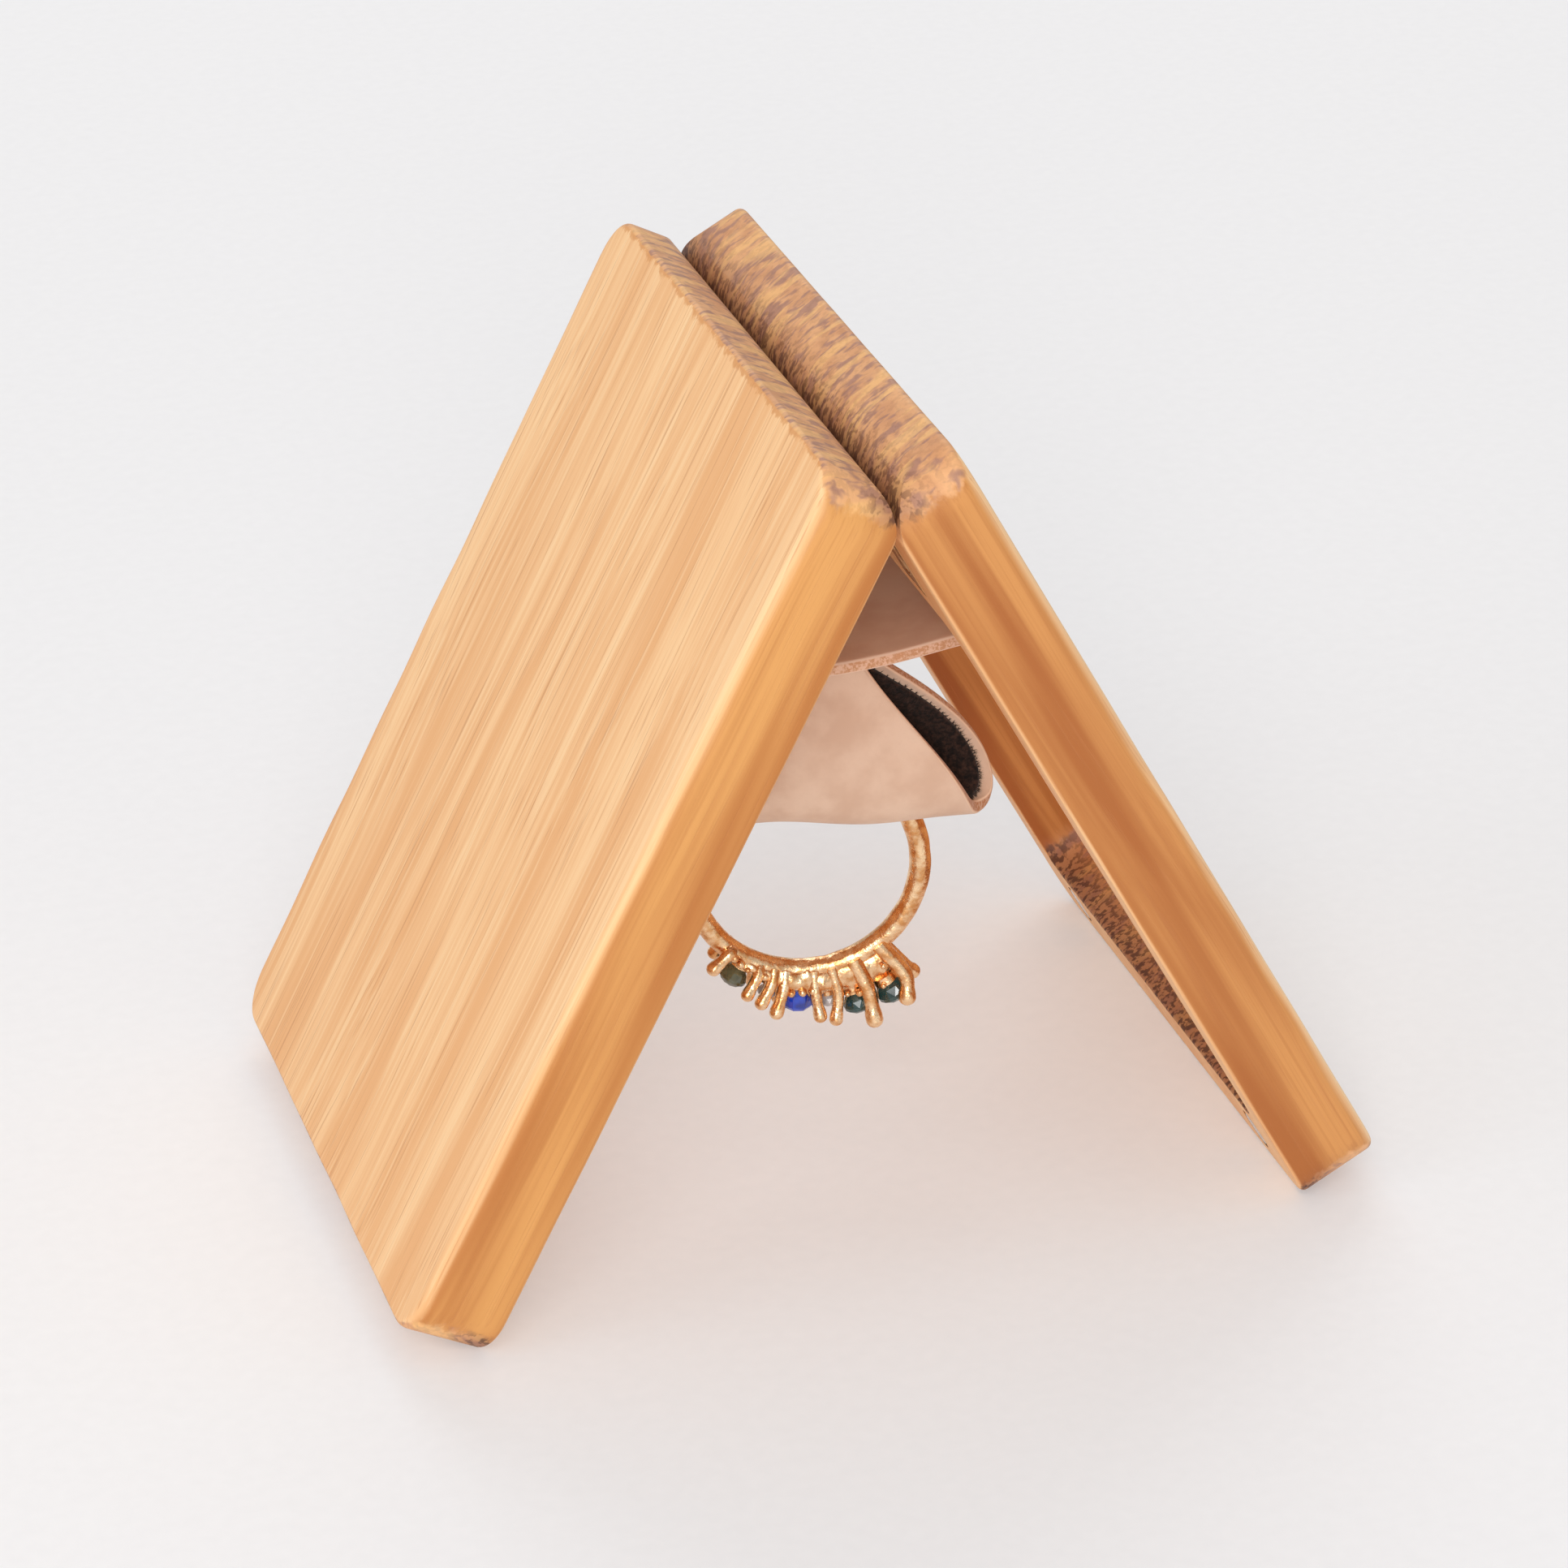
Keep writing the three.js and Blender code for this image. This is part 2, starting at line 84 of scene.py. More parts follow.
MM = 0.001
scene = bpy.context.scene
LOOK_AT = Vector((-2.26, -5.59, 33.18)) * MM
LOOK_DISTANCE = 419.2 * MM
LOOK_AZIMUTH, LOOK_ELEVATION, LOOK_ROLL = (math.radians(angle) for angle in (17.16, 27.28, 1.307))

forward = Vector((
    math.sin(LOOK_AZIMUTH) * math.cos(LOOK_ELEVATION),
    math.cos(LOOK_AZIMUTH) * math.cos(LOOK_ELEVATION),
    -math.sin(LOOK_ELEVATION),
))
level_right = Vector((math.cos(LOOK_AZIMUTH), -math.sin(LOOK_AZIMUTH), 0))
level_up = level_right.cross(forward)
right = level_right * math.cos(LOOK_ROLL) - level_up * math.sin(LOOK_ROLL)
up = right.cross(forward)
camera = bpy.data.objects.new("camera", bpy.data.cameras.new("camera"))
camera.data.lens = 123.16
camera.data.clip_start, camera.data.clip_end = 0.01, 20
camera.matrix_world = Matrix.Translation(LOOK_AT - forward * LOOK_DISTANCE) @ Matrix(
    (right, up, -forward)
).transposed().to_4x4()
scene.collection.objects.link(camera)
scene.camera = camera
print("camera at, mm:", [round(c / MM, 1) for c in camera.matrix_world.translation])

# %% [markdown]
# ## Where the covers stand
# Both covers are easiest to draw upright, as in the shut box: X runs through the thickness from the plane
# where they meet, Y across the width and Z along the grain, with the hinge axis at zero. Two placing
# matrices then lean them open. The opening angle and the axis come from the joint, and the sizes of the slab
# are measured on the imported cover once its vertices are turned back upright.

# %% Placing matrices and the measured slab
hinge_joint = next(joint for joint in frame["joints"] if joint["name"] == "cover_hinge")
half_opening = math.radians(hinge_joint["range_deg"][1]) / 2
pivot = Vector(hinge_joint["pos_m"])
PLACE = {
    "back_cover": Matrix.Translation(pivot) @ Matrix.Rotation(-half_opening, 4, "Y"),
    "front_cover": (Matrix.Translation(pivot) @ Matrix.Rotation(half_opening, 4, "Y")
                    @ Matrix.Rotation(math.pi, 4, "Z")),
}


def placed(points, matrix):
    """Points as a numpy array, each turned and moved by a 4x4 matrix."""
    m = np.array(matrix)
    return points @ m[:3, :3].T + m[:3, 3]


def node_points(name):
    """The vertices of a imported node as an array."""
    vertices = frame["nodes"][name].data.vertices
    flat = np.empty(3 * len(vertices))
    vertices.foreach_get("co", flat)
    return flat.reshape(-1, 3)


upright = placed(node_points("back_cover"), PLACE["back_cover"].inverted())
inner_x, _, foot_z = upright.min(axis=0)
outer_x, half_width, head_z = upright.max(axis=0)
print("cover, mm:", [round(size / MM, 2) for size in (head_z - foot_z, 2 * half_width, outer_x - inner_x)])

# %% [markdown]
# ## From arrays to pieces
# Every surface below is a grid of points, rows of equal length, that numpy works out at once. One helper
# joins neighbouring rows with four-sided faces, and another makes a Blender object of the points and faces.
# A closed shell has its normals recalculated, so that its faces point outwards.

# %% Grids, meshes and shading
rng = np.random.default_rng(7)


def grid_faces(rows, columns, closed_rows=False):
    """Four-sided faces between neighbouring rows of a grid of vertices, whose columns close into loops."""
    r, c = np.meshgrid(np.arange(rows if closed_rows else rows - 1), np.arange(columns), indexing="ij")
    r2, c2 = (r + 1) % rows, (c + 1) % columns
    quads = np.stack([r * columns + c, r * columns + c2, r2 * columns + c2, r2 * columns + c], axis=-1)
    return quads.reshape(-1, 4).tolist()


def lofted(grid):
    """A shell from a grid (rows, columns, 3): each row is a closed loop, and both ends are capped."""
    rows, columns = grid.shape[:2]
    faces = grid_faces(rows, columns)
    faces.append(list(range(columns))[::-1])
    faces.append(list(range((rows - 1) * columns, rows * columns)))
    return grid.reshape(-1, 3), faces


def merged(shells):
    """Several (vertices, faces) shells as one, still separate closed shells."""
    vertices, faces, count = [], [], 0
    for points, polygons in shells:
        vertices.append(points)
        faces += [[index + count for index in polygon] for polygon in polygons]
        count += len(points)
    return np.concatenate(vertices), faces


def linked(name, data):
    """A new object at the origin, in the scene."""
    made = bpy.data.objects.new(name, data)
    scene.collection.objects.link(made)
    return made


def piece(name, vertices, faces, material, smooth_angle=40):
    """An object at the origin, its faces pointing outwards and smooth up to an angle, with its material."""
    mesh = bpy.data.meshes.new(name)
    mesh.from_pydata(vertices.tolist(), [], faces)
    shell = bmesh.new()
    shell.from_mesh(mesh)
    bmesh.ops.recalc_face_normals(shell, faces=shell.faces)
    shell.to_mesh(mesh)
    shell.free()
    shade(mesh, smooth_angle)
    mesh.materials.append(material)
    made = linked(name, mesh)
    print(name, "faces:", len(mesh.polygons))
    return made


def shade(mesh, smooth_angle):
    """Smooth shading, sharp where faces meet at more than an angle in degrees; 0 leaves all faces flat."""
    mesh.polygons.foreach_set("use_smooth", [smooth_angle > 0] * len(mesh.polygons))
    if smooth_angle > 0:
        mesh.set_sharp_from_angle(angle=math.radians(smooth_angle))


def paint_vertices(made, name, values):
    """A number for each vertex, which a material reads by that name."""
    made.data.attributes.new(name, "FLOAT", "POINT").data.foreach_set("value", np.asarray(values, np.float32))


def wander(place, period, seed, waves=5):
    """A gentle wandering between about -1 and 1 along a closed path: a sum of sines with random phases."""
    random = np.random.default_rng(seed)
    turns = random.integers(3, 26, waves)
    phases = random.uniform(0, 2 * np.pi, waves)
    return sum(np.sin(2 * np.pi * n * place / period + p) for n, p in zip(turns, phases)) / math.sqrt(waves)


# %% [markdown]
# ## Small words for shader nodes
# A procedural material is a graph of nodes. These helpers add one node with its inputs, a sum, a ramp, a
# mix or a stretched noise in one line each, so that a material below reads like a recipe.

# %% Node helpers
def wire(tree, kind, inputs=None, **settings):
    """Adds a node, sets its settings, and fills or links its inputs by name or number."""
    made = tree.nodes.new(kind)
    for name, value in settings.items():
        setattr(made, name, value)
    for name, value in (inputs or {}).items():
        if isinstance(value, bpy.types.NodeSocket):
            tree.links.new(value, made.inputs[name])
        else:
            made.inputs[name].default_value = value
    return made


def calc(tree, operation, *values):
    """One arithmetic step."""
    return wire(tree, "ShaderNodeMath", dict(enumerate(values)), operation=operation).outputs[0]


def times(tree, first, second):
    """The product of two values."""
    return calc(tree, "MULTIPLY", first, second)


def plus(tree, first, second):
    """The sum of two values."""
    return calc(tree, "ADD", first, second)


def spread(tree, value, low, high, to_low=0.0, to_high=1.0):
    """The value's place between low and high, held to that range and carried smoothly to another range."""
    inputs = {"Value": value, "From Min": low, "From Max": high, "To Min": to_low, "To Max": to_high}
    return wire(tree, "ShaderNodeMapRange", inputs, interpolation_type="SMOOTHSTEP").outputs["Result"]


def mixed(tree, share, first, second):
    """A colour between two colours."""
    return wire(tree, "ShaderNodeMix", {0: share, 6: first, 7: second}, data_type="RGBA").outputs[2]


def stretched(tree, vector, scale, turn=(0, 0, 0)):
    """The coordinates turned, then scaled along each axis."""
    turned = wire(tree, "ShaderNodeMapping", {"Vector": vector, "Rotation": turn}).outputs[0]
    return wire(tree, "ShaderNodeMapping", {"Vector": turned, "Scale": scale}).outputs[0]


def on_object(tree):
    """The coordinates of the object itself, in metres."""
    return wire(tree, "ShaderNodeTexCoord").outputs["Object"]


def noise(tree, vector, detail=2.0, roughness=0.5, distortion=0.0):
    """Smooth noise about one unit across."""
    return wire(tree, "ShaderNodeTexNoise", {
        "Vector": vector, "Scale": 1.0, "Detail": detail, "Roughness": roughness, "Distortion": distortion,
    }).outputs["Fac"]


def new_material(name):
    """A material with only a Principled shader, and its node tree."""
    material = bpy.data.materials.new(name)
    material.use_nodes = True
    return material, material.node_tree, material.node_tree.nodes["Principled BSDF"]


def set_inputs(shader, links=None, **values):
    """Constants on the shader's own sockets, and links from other nodes."""
    for name, value in values.items():
        shader.inputs[name.replace("_", " ")].default_value = value
    for name, socket in (links or {}).items():
        shader.id_data.links.new(socket, shader.inputs[name])


def bumped(tree, shader, height, distance, strength=1.0):
    """Links a height in the object's scale to the shader's normal."""
    bump = wire(tree, "ShaderNodeBump", {"Height": height, "Distance": distance, "Strength": strength})
    tree.links.new(bump.outputs["Normal"], shader.inputs["Normal"])


def colour(red, green, blue):
    """A linear colour from screen values of 0 to 255."""
    screen = np.array([red, green, blue]) / 255
    linear = np.where(screen <= 0.04045, screen / 12.92, ((screen + 0.055) / 1.055) ** 2.4)
    return (*linear.tolist(), 1.0)


# %% [markdown]
# ## Oiled oak
# Real wood is a solid with one structure all through, so the same recipe has to give straight streaks on the
# faces and flecks on the end grain. The pattern is therefore worked out in the cover's own upright frame, in
# millimetres: a Mapping node undoes the lean. Every streak is noise that changes quickly across the grain and
# slowly along it. How much a surface looks along the grain, from the object's own normal, brings in the end
# grain, and a little noise in that share gives it the ragged border that a saw leaves. Each cover is its own
# cut: a shift of the pattern, and a number from 0 to 1 for how deep its sides are in colour.

# %% Oak colours
# The face colours are paler and less saturated than the side colours: partly the grain of the broad faces,
# partly a painted sheen of the light that falls on them.
FACE_PALE, FACE_DEEP, FACE_LIGHT = colour(250, 203, 150), colour(236, 177, 120), colour(255, 220, 172)
SIDE_PALE = (colour(222, 160, 92), colour(208, 142, 80))
SIDE_DEEP = (colour(188, 118, 58), colour(168, 96, 44))
PORE, HEAD_END_BROWN = colour(190, 122, 74), colour(216, 148, 86)
# The inward end-grain colour is painted shade: the inner half of the ridge end, which lies in the shade of
# the V between the covers.
END_PALE, END_DEEP, END_PAINTED_SHADE = colour(232, 174, 122), colour(212, 152, 106), colour(156, 102, 68)
END_FLECK, END_RAY, END_SPECK = colour(164, 120, 108), colour(246, 192, 124), colour(80, 44, 30)
RAY_TURN = (0, 0, math.radians(-12))


# %% Oak material
def oak_material(name, cover, shift, depth):
    material, tree, shader = new_material(name)
    place = wire(tree, "ShaderNodeTexCoord")
    lean = PLACE[cover]
    local = wire(tree, "ShaderNodeMapping", {
        "Vector": place.outputs["Object"], "Location": lean.translation, "Rotation": lean.to_euler(),
        "Scale": (MM, MM, MM)}, vector_type="TEXTURE").outputs[0]
    split = wire(tree, "ShaderNodeSeparateXYZ", {"Vector": local})
    # A share that grows towards the inner face; it carries the painted shade of the ridge end's inner half.
    inward = spread(tree, split.outputs["X"], (0.62 * outer_x + 0.38 * inner_x) / MM, inner_x / MM)

    def moved(vector, by):
        return wire(tree, "ShaderNodeVectorMath", {0: vector, 1: by}, operation="ADD").outputs[0]

    def facing(*direction):
        """How far the surface looks along a direction of the upright cover, either way."""
        dot = wire(tree, "ShaderNodeVectorMath", {
            0: place.outputs["Normal"], 1: lean.to_3x3() @ Vector(direction)}, operation="DOT_PRODUCT")
        return calc(tree, "ABSOLUTE", dot.outputs["Value"])

    local = moved(local, shift)
    ragged = noise(tree, stretched(tree, local, (0.9, 0.9, 0.6)), detail=3, roughness=0.7)
    end_grain = spread(tree, plus(tree, facing(0, 0, 1), times(tree, ragged, 0.6)), 0.62, 0.86)
    # The broad faces take the face colours: partly their grain, partly painted sheen.
    flat_grain_and_sheen = spread(tree, facing(1, 0, 0), 0.35, 0.9)
    scallop = plus(tree, split.outputs["Z"], times(tree, ragged, 2.2))
    # The long grain turns browner within about two millimetres of the ridge end, with a ragged border.
    head_end_share = times(tree, spread(tree, scallop, head_z / MM + 0.35, head_z / MM + 0.75), 0.75)

    # A slow wander of the whole structure, so that no streak is ruler straight.
    drift = noise(tree, stretched(tree, local, (0.06, 0.06, 0.022)), detail=1)
    local = moved(local, wire(tree, "ShaderNodeCombineXYZ", {
        0: times(tree, drift, 3.0), 1: times(tree, drift, 3.6)}).outputs[0])

    # Lengthwise structure: broad bands, streaks, and the thin dark lines of the pores.
    bands = noise(tree, stretched(tree, local, (0.36, 0.22, 0.013)), detail=2, roughness=0.55)
    streaks = noise(tree, stretched(tree, local, (2.1, 1.7, 0.018)), detail=3, roughness=0.65)
    pores = spread(tree, noise(tree, stretched(tree, local, (4.6, 4.2, 0.045)), detail=2), 0.56, 0.72)
    pale = mixed(tree, flat_grain_and_sheen, mixed(tree, depth, *SIDE_PALE), FACE_PALE)
    deep = mixed(tree, flat_grain_and_sheen, mixed(tree, depth, *SIDE_DEEP), FACE_DEEP)
    long_wood = mixed(tree, spread(tree, bands, 0.34, 0.64), pale, deep)
    streak_share = plus(tree, times(tree, flat_grain_and_sheen, 0.2), 0.35)
    long_wood = mixed(tree, times(tree, spread(tree, streaks, 0.46, 0.68), streak_share), long_wood, deep)
    light_share = times(tree, spread(tree, streaks, 0.5, 0.34), times(tree, flat_grain_and_sheen, 0.4))
    long_wood = mixed(tree, light_share, long_wood, FACE_LIGHT)
    pore_share = times(tree, pores, plus(tree, times(tree, flat_grain_and_sheen, 0.3), 0.16))
    long_wood = mixed(tree, pore_share, long_wood, PORE)
    long_wood = mixed(tree, head_end_share, long_wood, HEAD_END_BROWN)

    # End grain: pale rays that cross the slab, greyish flecks between them, and towards the inner face
    # painted shade with denser dark pores, partly real pores and partly painted shade of the V between the
    # covers.
    def across(scale, **settings):
        return noise(tree, stretched(tree, local, scale, RAY_TURN), detail=2, **settings)

    rays = across((0.14, 0.62, 0.02), distortion=0.4)
    flecks = across((0.55, 1.25, 0.3), roughness=0.55, distortion=0.3)
    specks = across((1.5, 1.9, 0.5), roughness=0.6)
    end_wood = mixed(tree, spread(tree, bands, 0.35, 0.65), END_PALE, END_DEEP)
    end_wood = mixed(tree, times(tree, spread(tree, flecks, 0.47, 0.62), 0.75), end_wood, END_FLECK)
    end_wood = mixed(tree, times(tree, spread(tree, rays, 0.52, 0.6), 0.65), end_wood, END_RAY)
    # Painted shade: the ridge end darkens towards the inner face, and its dark specks grow denser there.
    end_wood = mixed(tree, times(tree, inward, 0.7), end_wood, END_PAINTED_SHADE)
    speck_share = times(tree, spread(tree, specks, 0.46, 0.58), plus(tree, times(tree, inward, 0.75), 0.12))
    end_wood = mixed(tree, speck_share, end_wood, END_SPECK)

    gloss = calc(tree, "SUBTRACT", 0.6, times(tree, streaks, 0.14))
    set_inputs(shader, {"Base Color": mixed(tree, end_grain, long_wood, end_wood), "Roughness": gloss},
               Specular_IOR_Level=0.35)
    height = calc(tree, "SUBTRACT", times(tree, streaks, 0.4), times(tree, pores, 0.5))
    bumped(tree, shader, height, 0.04 * MM, 0.5)
    return material


OAK_CUTS = (("front_cover", (3.0, 11.0, 40.0), 0.1), ("back_cover", (31.0, -17.0, 5.0), 0.8))
oak = {cut[0]: oak_material(f"oiled_oak_{cut[0]}", *cut) for cut in OAK_CUTS}
print("oak made for", list(oak))

# %% [markdown]
# ## The routed covers
# A cover is a slab with rounded corners, eased edges and a routed pocket. Its outline is a rounded rectangle,
# and the surface is a profile carried round that outline: from the outer face over an eased edge, down the
# side, over the inner edge, across the rim, and down the pocket wall to its floor. The outer edges are softer
# along the sides than at the ends, and they wander a little, as an edge sanded by hand does. Flat faces get
# one more ring just inside their edge, so that the shading stays flat there.

# %% Outline and profile of a cover
CORNER_RADIUS, RIDGE_RADIUS = 3.8 * MM, 4.3 * MM
INNER_ARRIS, SIDE_ARRIS, END_ARRIS = 0.5 * MM, 1.3 * MM, 0.5 * MM
POCKET_DEPTH, POCKET_CORNER_RADIUS, POCKET_FLOOR_RADIUS = 4.8 * MM, 3.0 * MM, 0.7 * MM
POCKET_SIDE_MARGIN, POCKET_FOOT_MARGIN, POCKET_HEAD_MARGIN = 4.5 * MM, 6.5 * MM, 15.0 * MM
EDGE_BREAK = 0.25 * MM
EDGE_WANDER = 0.09
SUPPORT = 0.15 * MM
CORNER_STEPS, SIDE_STEPS = 14, 44


def rounded_outline(low, high, radius):
    """Points (Y, Z) and outward normals round a rectangle: four quarter circles joined by straight sides."""
    corner = np.linspace(0, np.pi / 2, CORNER_STEPS)
    points, normals = [], []
    corners = [(high[0], high[1], 0), (low[0], high[1], 1), (low[0], low[1], 2), (high[0], low[1], 3)]
    for y, z, quarter in corners:
        angle = corner + quarter * np.pi / 2
        normal = np.stack([np.cos(angle), np.sin(angle)], axis=1)
        centre = np.array([y - math.copysign(radius, y - (low[0] + high[0]) / 2),
                           z - math.copysign(radius, z - (low[1] + high[1]) / 2)])
        points.append(centre + radius * normal)
        normals.append(normal)
    loop, loop_normals = [], []
    for index in range(4):
        after = points[(index + 1) % 4][0]
        share = np.linspace(0, 1, SIDE_STEPS + 2)[1:-1, None]
        loop += [points[index], points[index][-1] * (1 - share) + after * share]
        loop_normals += [normals[index], np.repeat(normals[index][-1:], SIDE_STEPS, axis=0)]
    return np.concatenate(loop), np.concatenate(loop_normals)


def eased_edge(radius, steps):
    """A quarter round from a face (inset = radius, depth 0) to a side (inset 0, depth = radius)."""
    angle = np.linspace(0, np.pi / 2, steps)[:, None]
    return radius * (1 - np.sin(angle)), radius * (1 - np.cos(angle))


def cover_shell():
    """The upright slab with its pocket: each row is the outline moved inwards by an inset, at a depth X."""
    low, high = np.array([-half_width, foot_z]), np.array([half_width, head_z])
    outline, normal = rounded_outline(low, high, CORNER_RADIUS)
    step = np.linalg.norm(np.diff(outline, axis=0, append=outline[:1]), axis=1)
    along = np.cumsum(step)
    towards_side = np.abs(normal[:, 0]) ** 2
    outer_radius = END_ARRIS + (SIDE_ARRIS - END_ARRIS) * towards_side
    outer_radius = outer_radius * (1 + EDGE_WANDER * wander(along, along[-1], 1))
    inner_radius = INNER_ARRIS * (1 + EDGE_WANDER * wander(along, along[-1], 2))

    def ring(inset, x):
        x = np.broadcast_to(x, inset.shape)
        flat = outline[None] - normal[None] * inset[..., None]
        return np.concatenate([x[..., None], flat], axis=-1)

    out_inset, out_depth = eased_edge(outer_radius, 9)
    in_inset, in_depth = eased_edge(inner_radius, 7)
    face = ring(outer_radius[None] + SUPPORT * np.array([[6.0], [0.0]]), outer_x)
    outer_edge = ring(out_inset, outer_x - out_depth)[1:]
    inner_edge = ring(in_inset, inner_x + in_depth)[::-1]
    rim = ring(inner_radius[None] + SUPPORT, np.full_like(inner_radius, inner_x)[None])

    pocket_low = low + [POCKET_SIDE_MARGIN, POCKET_FOOT_MARGIN]
    pocket_high = high - [POCKET_SIDE_MARGIN, POCKET_HEAD_MARGIN]
    pocket, out = rounded_outline(pocket_low, pocket_high, POCKET_CORNER_RADIUS)
    floor_x = inner_x + POCKET_DEPTH
    break_inset, break_depth = eased_edge(EDGE_BREAK, 4)
    round_inset, round_rise = eased_edge(POCKET_FLOOR_RADIUS, 6)
    last = -POCKET_FLOOR_RADIUS - 2 * SUPPORT
    wall = np.concatenate([[EDGE_BREAK + SUPPORT], break_inset[:, 0], -round_inset[::-1, 0], [last]])
    depth = np.concatenate([[inner_x], inner_x + break_depth[:, 0], floor_x - round_rise[::-1, 0], [floor_x]])
    rows = pocket[None] + out[None] * wall[:, None, None]
    hollow = np.concatenate([np.broadcast_to(depth[:, None, None], (*rows.shape[:2], 1)), rows], axis=-1)
    return lofted(np.concatenate([face, outer_edge, inner_edge, rim, hollow]))


# %% [markdown]
# The ridge end gets a large round on its inner edge, so that the covers can turn, and the hinge leaves, the
# knuckles, the screws and the magnets sit in recesses. All are cut with Blender's Boolean modifier, because a
# router and a drill make them after the slab in the same way, and it is then applied, so that the finished
# cover is one plain mesh.

# %% Cut the recesses
FIT_GAP, OVERCUT = 0.3 * MM, 2.0 * MM
HINGE_SPACING, LEAF_WIDTH, LEAF_HEIGHT, LEAF_THICKNESS = 34.0 * MM, 5.0 * MM, 9.5 * MM, 0.7 * MM
KNUCKLE_RADIUS, SCREW_RADIUS, SCREW_LENGTH, SCREW_DEPTHS = 1.5 * MM, 0.6 * MM, 3.6 * MM, (3.9 * MM, 7.4 * MM)
MAGNET_SPACING, MAGNET_RADIUS, MAGNET_THICKNESS, MAGNET_RISE = 40.0 * MM, 1.5 * MM, 1.8 * MM, 3.6 * MM


def round_bar(centre, axis, radius, length, sides=48):
    """A cylinder: a circle at each end of an axis, X (0) or Y (1)."""
    angle = np.linspace(0, 2 * np.pi, sides, endpoint=False)
    circle = radius * np.stack([np.cos(angle), np.sin(angle)], axis=1)
    ends = []
    for side in (-0.5, 0.5):
        points = np.insert(circle, axis, side * length, axis=1)
        ends.append(points + np.array(centre))
    return lofted(np.array(ends))


def block(low, high):
    """A box from its lowest and highest corners."""
    (x0, y0, z0), (x1, y1, z1) = low, high
    loop = np.array([[x0, y0], [x1, y0], [x1, y1], [x0, y1]])
    return lofted(np.array([np.insert(loop, 2, z, axis=1) for z in (z0, z1)]))


def ridge_waste(steps=40):
    """What a round of the ridge radius leaves outside it, carried along the whole ridge."""
    angle = np.linspace(np.pi, np.pi / 2, steps)
    inwards, down = RIDGE_RADIUS * (1 + np.cos(angle)), RIDGE_RADIUS * (1 - np.sin(angle))
    arc = np.stack([inner_x + inwards, head_z - down], axis=1)
    outside, top, reach = inner_x - OVERCUT, head_z + OVERCUT, half_width + OVERCUT
    loop = np.concatenate([[[outside, head_z - RIDGE_RADIUS]], arc, [[arc[-1, 0], top], [outside, top]]])
    return lofted(np.array([np.insert(loop, 1, y, axis=1) for y in (-reach, reach)]))


def recesses():
    """The cutters of one upright cover."""
    shells = [ridge_waste()]
    for y in (-HINGE_SPACING / 2, HINGE_SPACING / 2):
        half = LEAF_WIDTH / 2 + FIT_GAP
        shells.append(block((inner_x - OVERCUT, y - half, -LEAF_HEIGHT - FIT_GAP),
                            (inner_x + LEAF_THICKNESS + FIT_GAP, y + half, 0)))
        shells.append(round_bar((0, y, 0), 1, KNUCKLE_RADIUS + FIT_GAP, 2 * half, 64))
        length = SCREW_LENGTH + FIT_GAP
        shells += [round_bar((inner_x + length / 2, y, -depth), 0, SCREW_RADIUS + FIT_GAP, length)
                   for depth in SCREW_DEPTHS]
    depth = MAGNET_THICKNESS + FIT_GAP
    magnet_x, magnet_z = inner_x + (depth - OVERCUT) / 2, foot_z + MAGNET_RISE
    shells += [round_bar((magnet_x, y, magnet_z), 0, MAGNET_RADIUS + FIT_GAP, depth + OVERCUT)
               for y in (-MAGNET_SPACING / 2, MAGNET_SPACING / 2)]
    return shells


def cut_away(blank, shells):
    """The blank's mesh with each closed shell taken away from it, one Boolean after another."""
    cutters = []
    for index, shell in enumerate(shells):
        cutter = piece(f"cutter_{index}", *shell, oak["back_cover"])
        cut = blank.modifiers.new(cutter.name, "BOOLEAN")
        cut.operation, cut.solver, cut.object = "DIFFERENCE", "EXACT", cutter
        cutters.append(cutter)
    evaluated = blank.evaluated_get(bpy.context.evaluated_depsgraph_get())
    result = bpy.data.meshes.new_from_object(evaluated)
    for cutter in cutters:
        bpy.data.objects.remove(cutter)
    return result


blank = piece("cover_blank", *cover_shell(), oak["back_cover"])
upright_cover = cut_away(blank, recesses())
bpy.data.objects.remove(blank)
for cover, lean in PLACE.items():
    mesh = upright_cover.copy()
    mesh.transform(lean)
    mesh.materials.clear()
    mesh.materials.append(oak[cover])
    shade(mesh, 35)
    slab = linked(f"routed_{cover}", mesh)
    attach(slab, cover)
    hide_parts(cover)
    print(slab.name, "faces:", len(mesh.polygons))

# %% [markdown]
# ## Leather
# The band and the loop are one hide: a smooth tan face, and cut edges with a darker core between two pale
# lines, which are painted highlights on the rounded arrises of the cut. A number on each vertex says how far
# round the edge it lies, and the material turns that into the core and the painted highlight lines. The
# lining is nearly black suede.

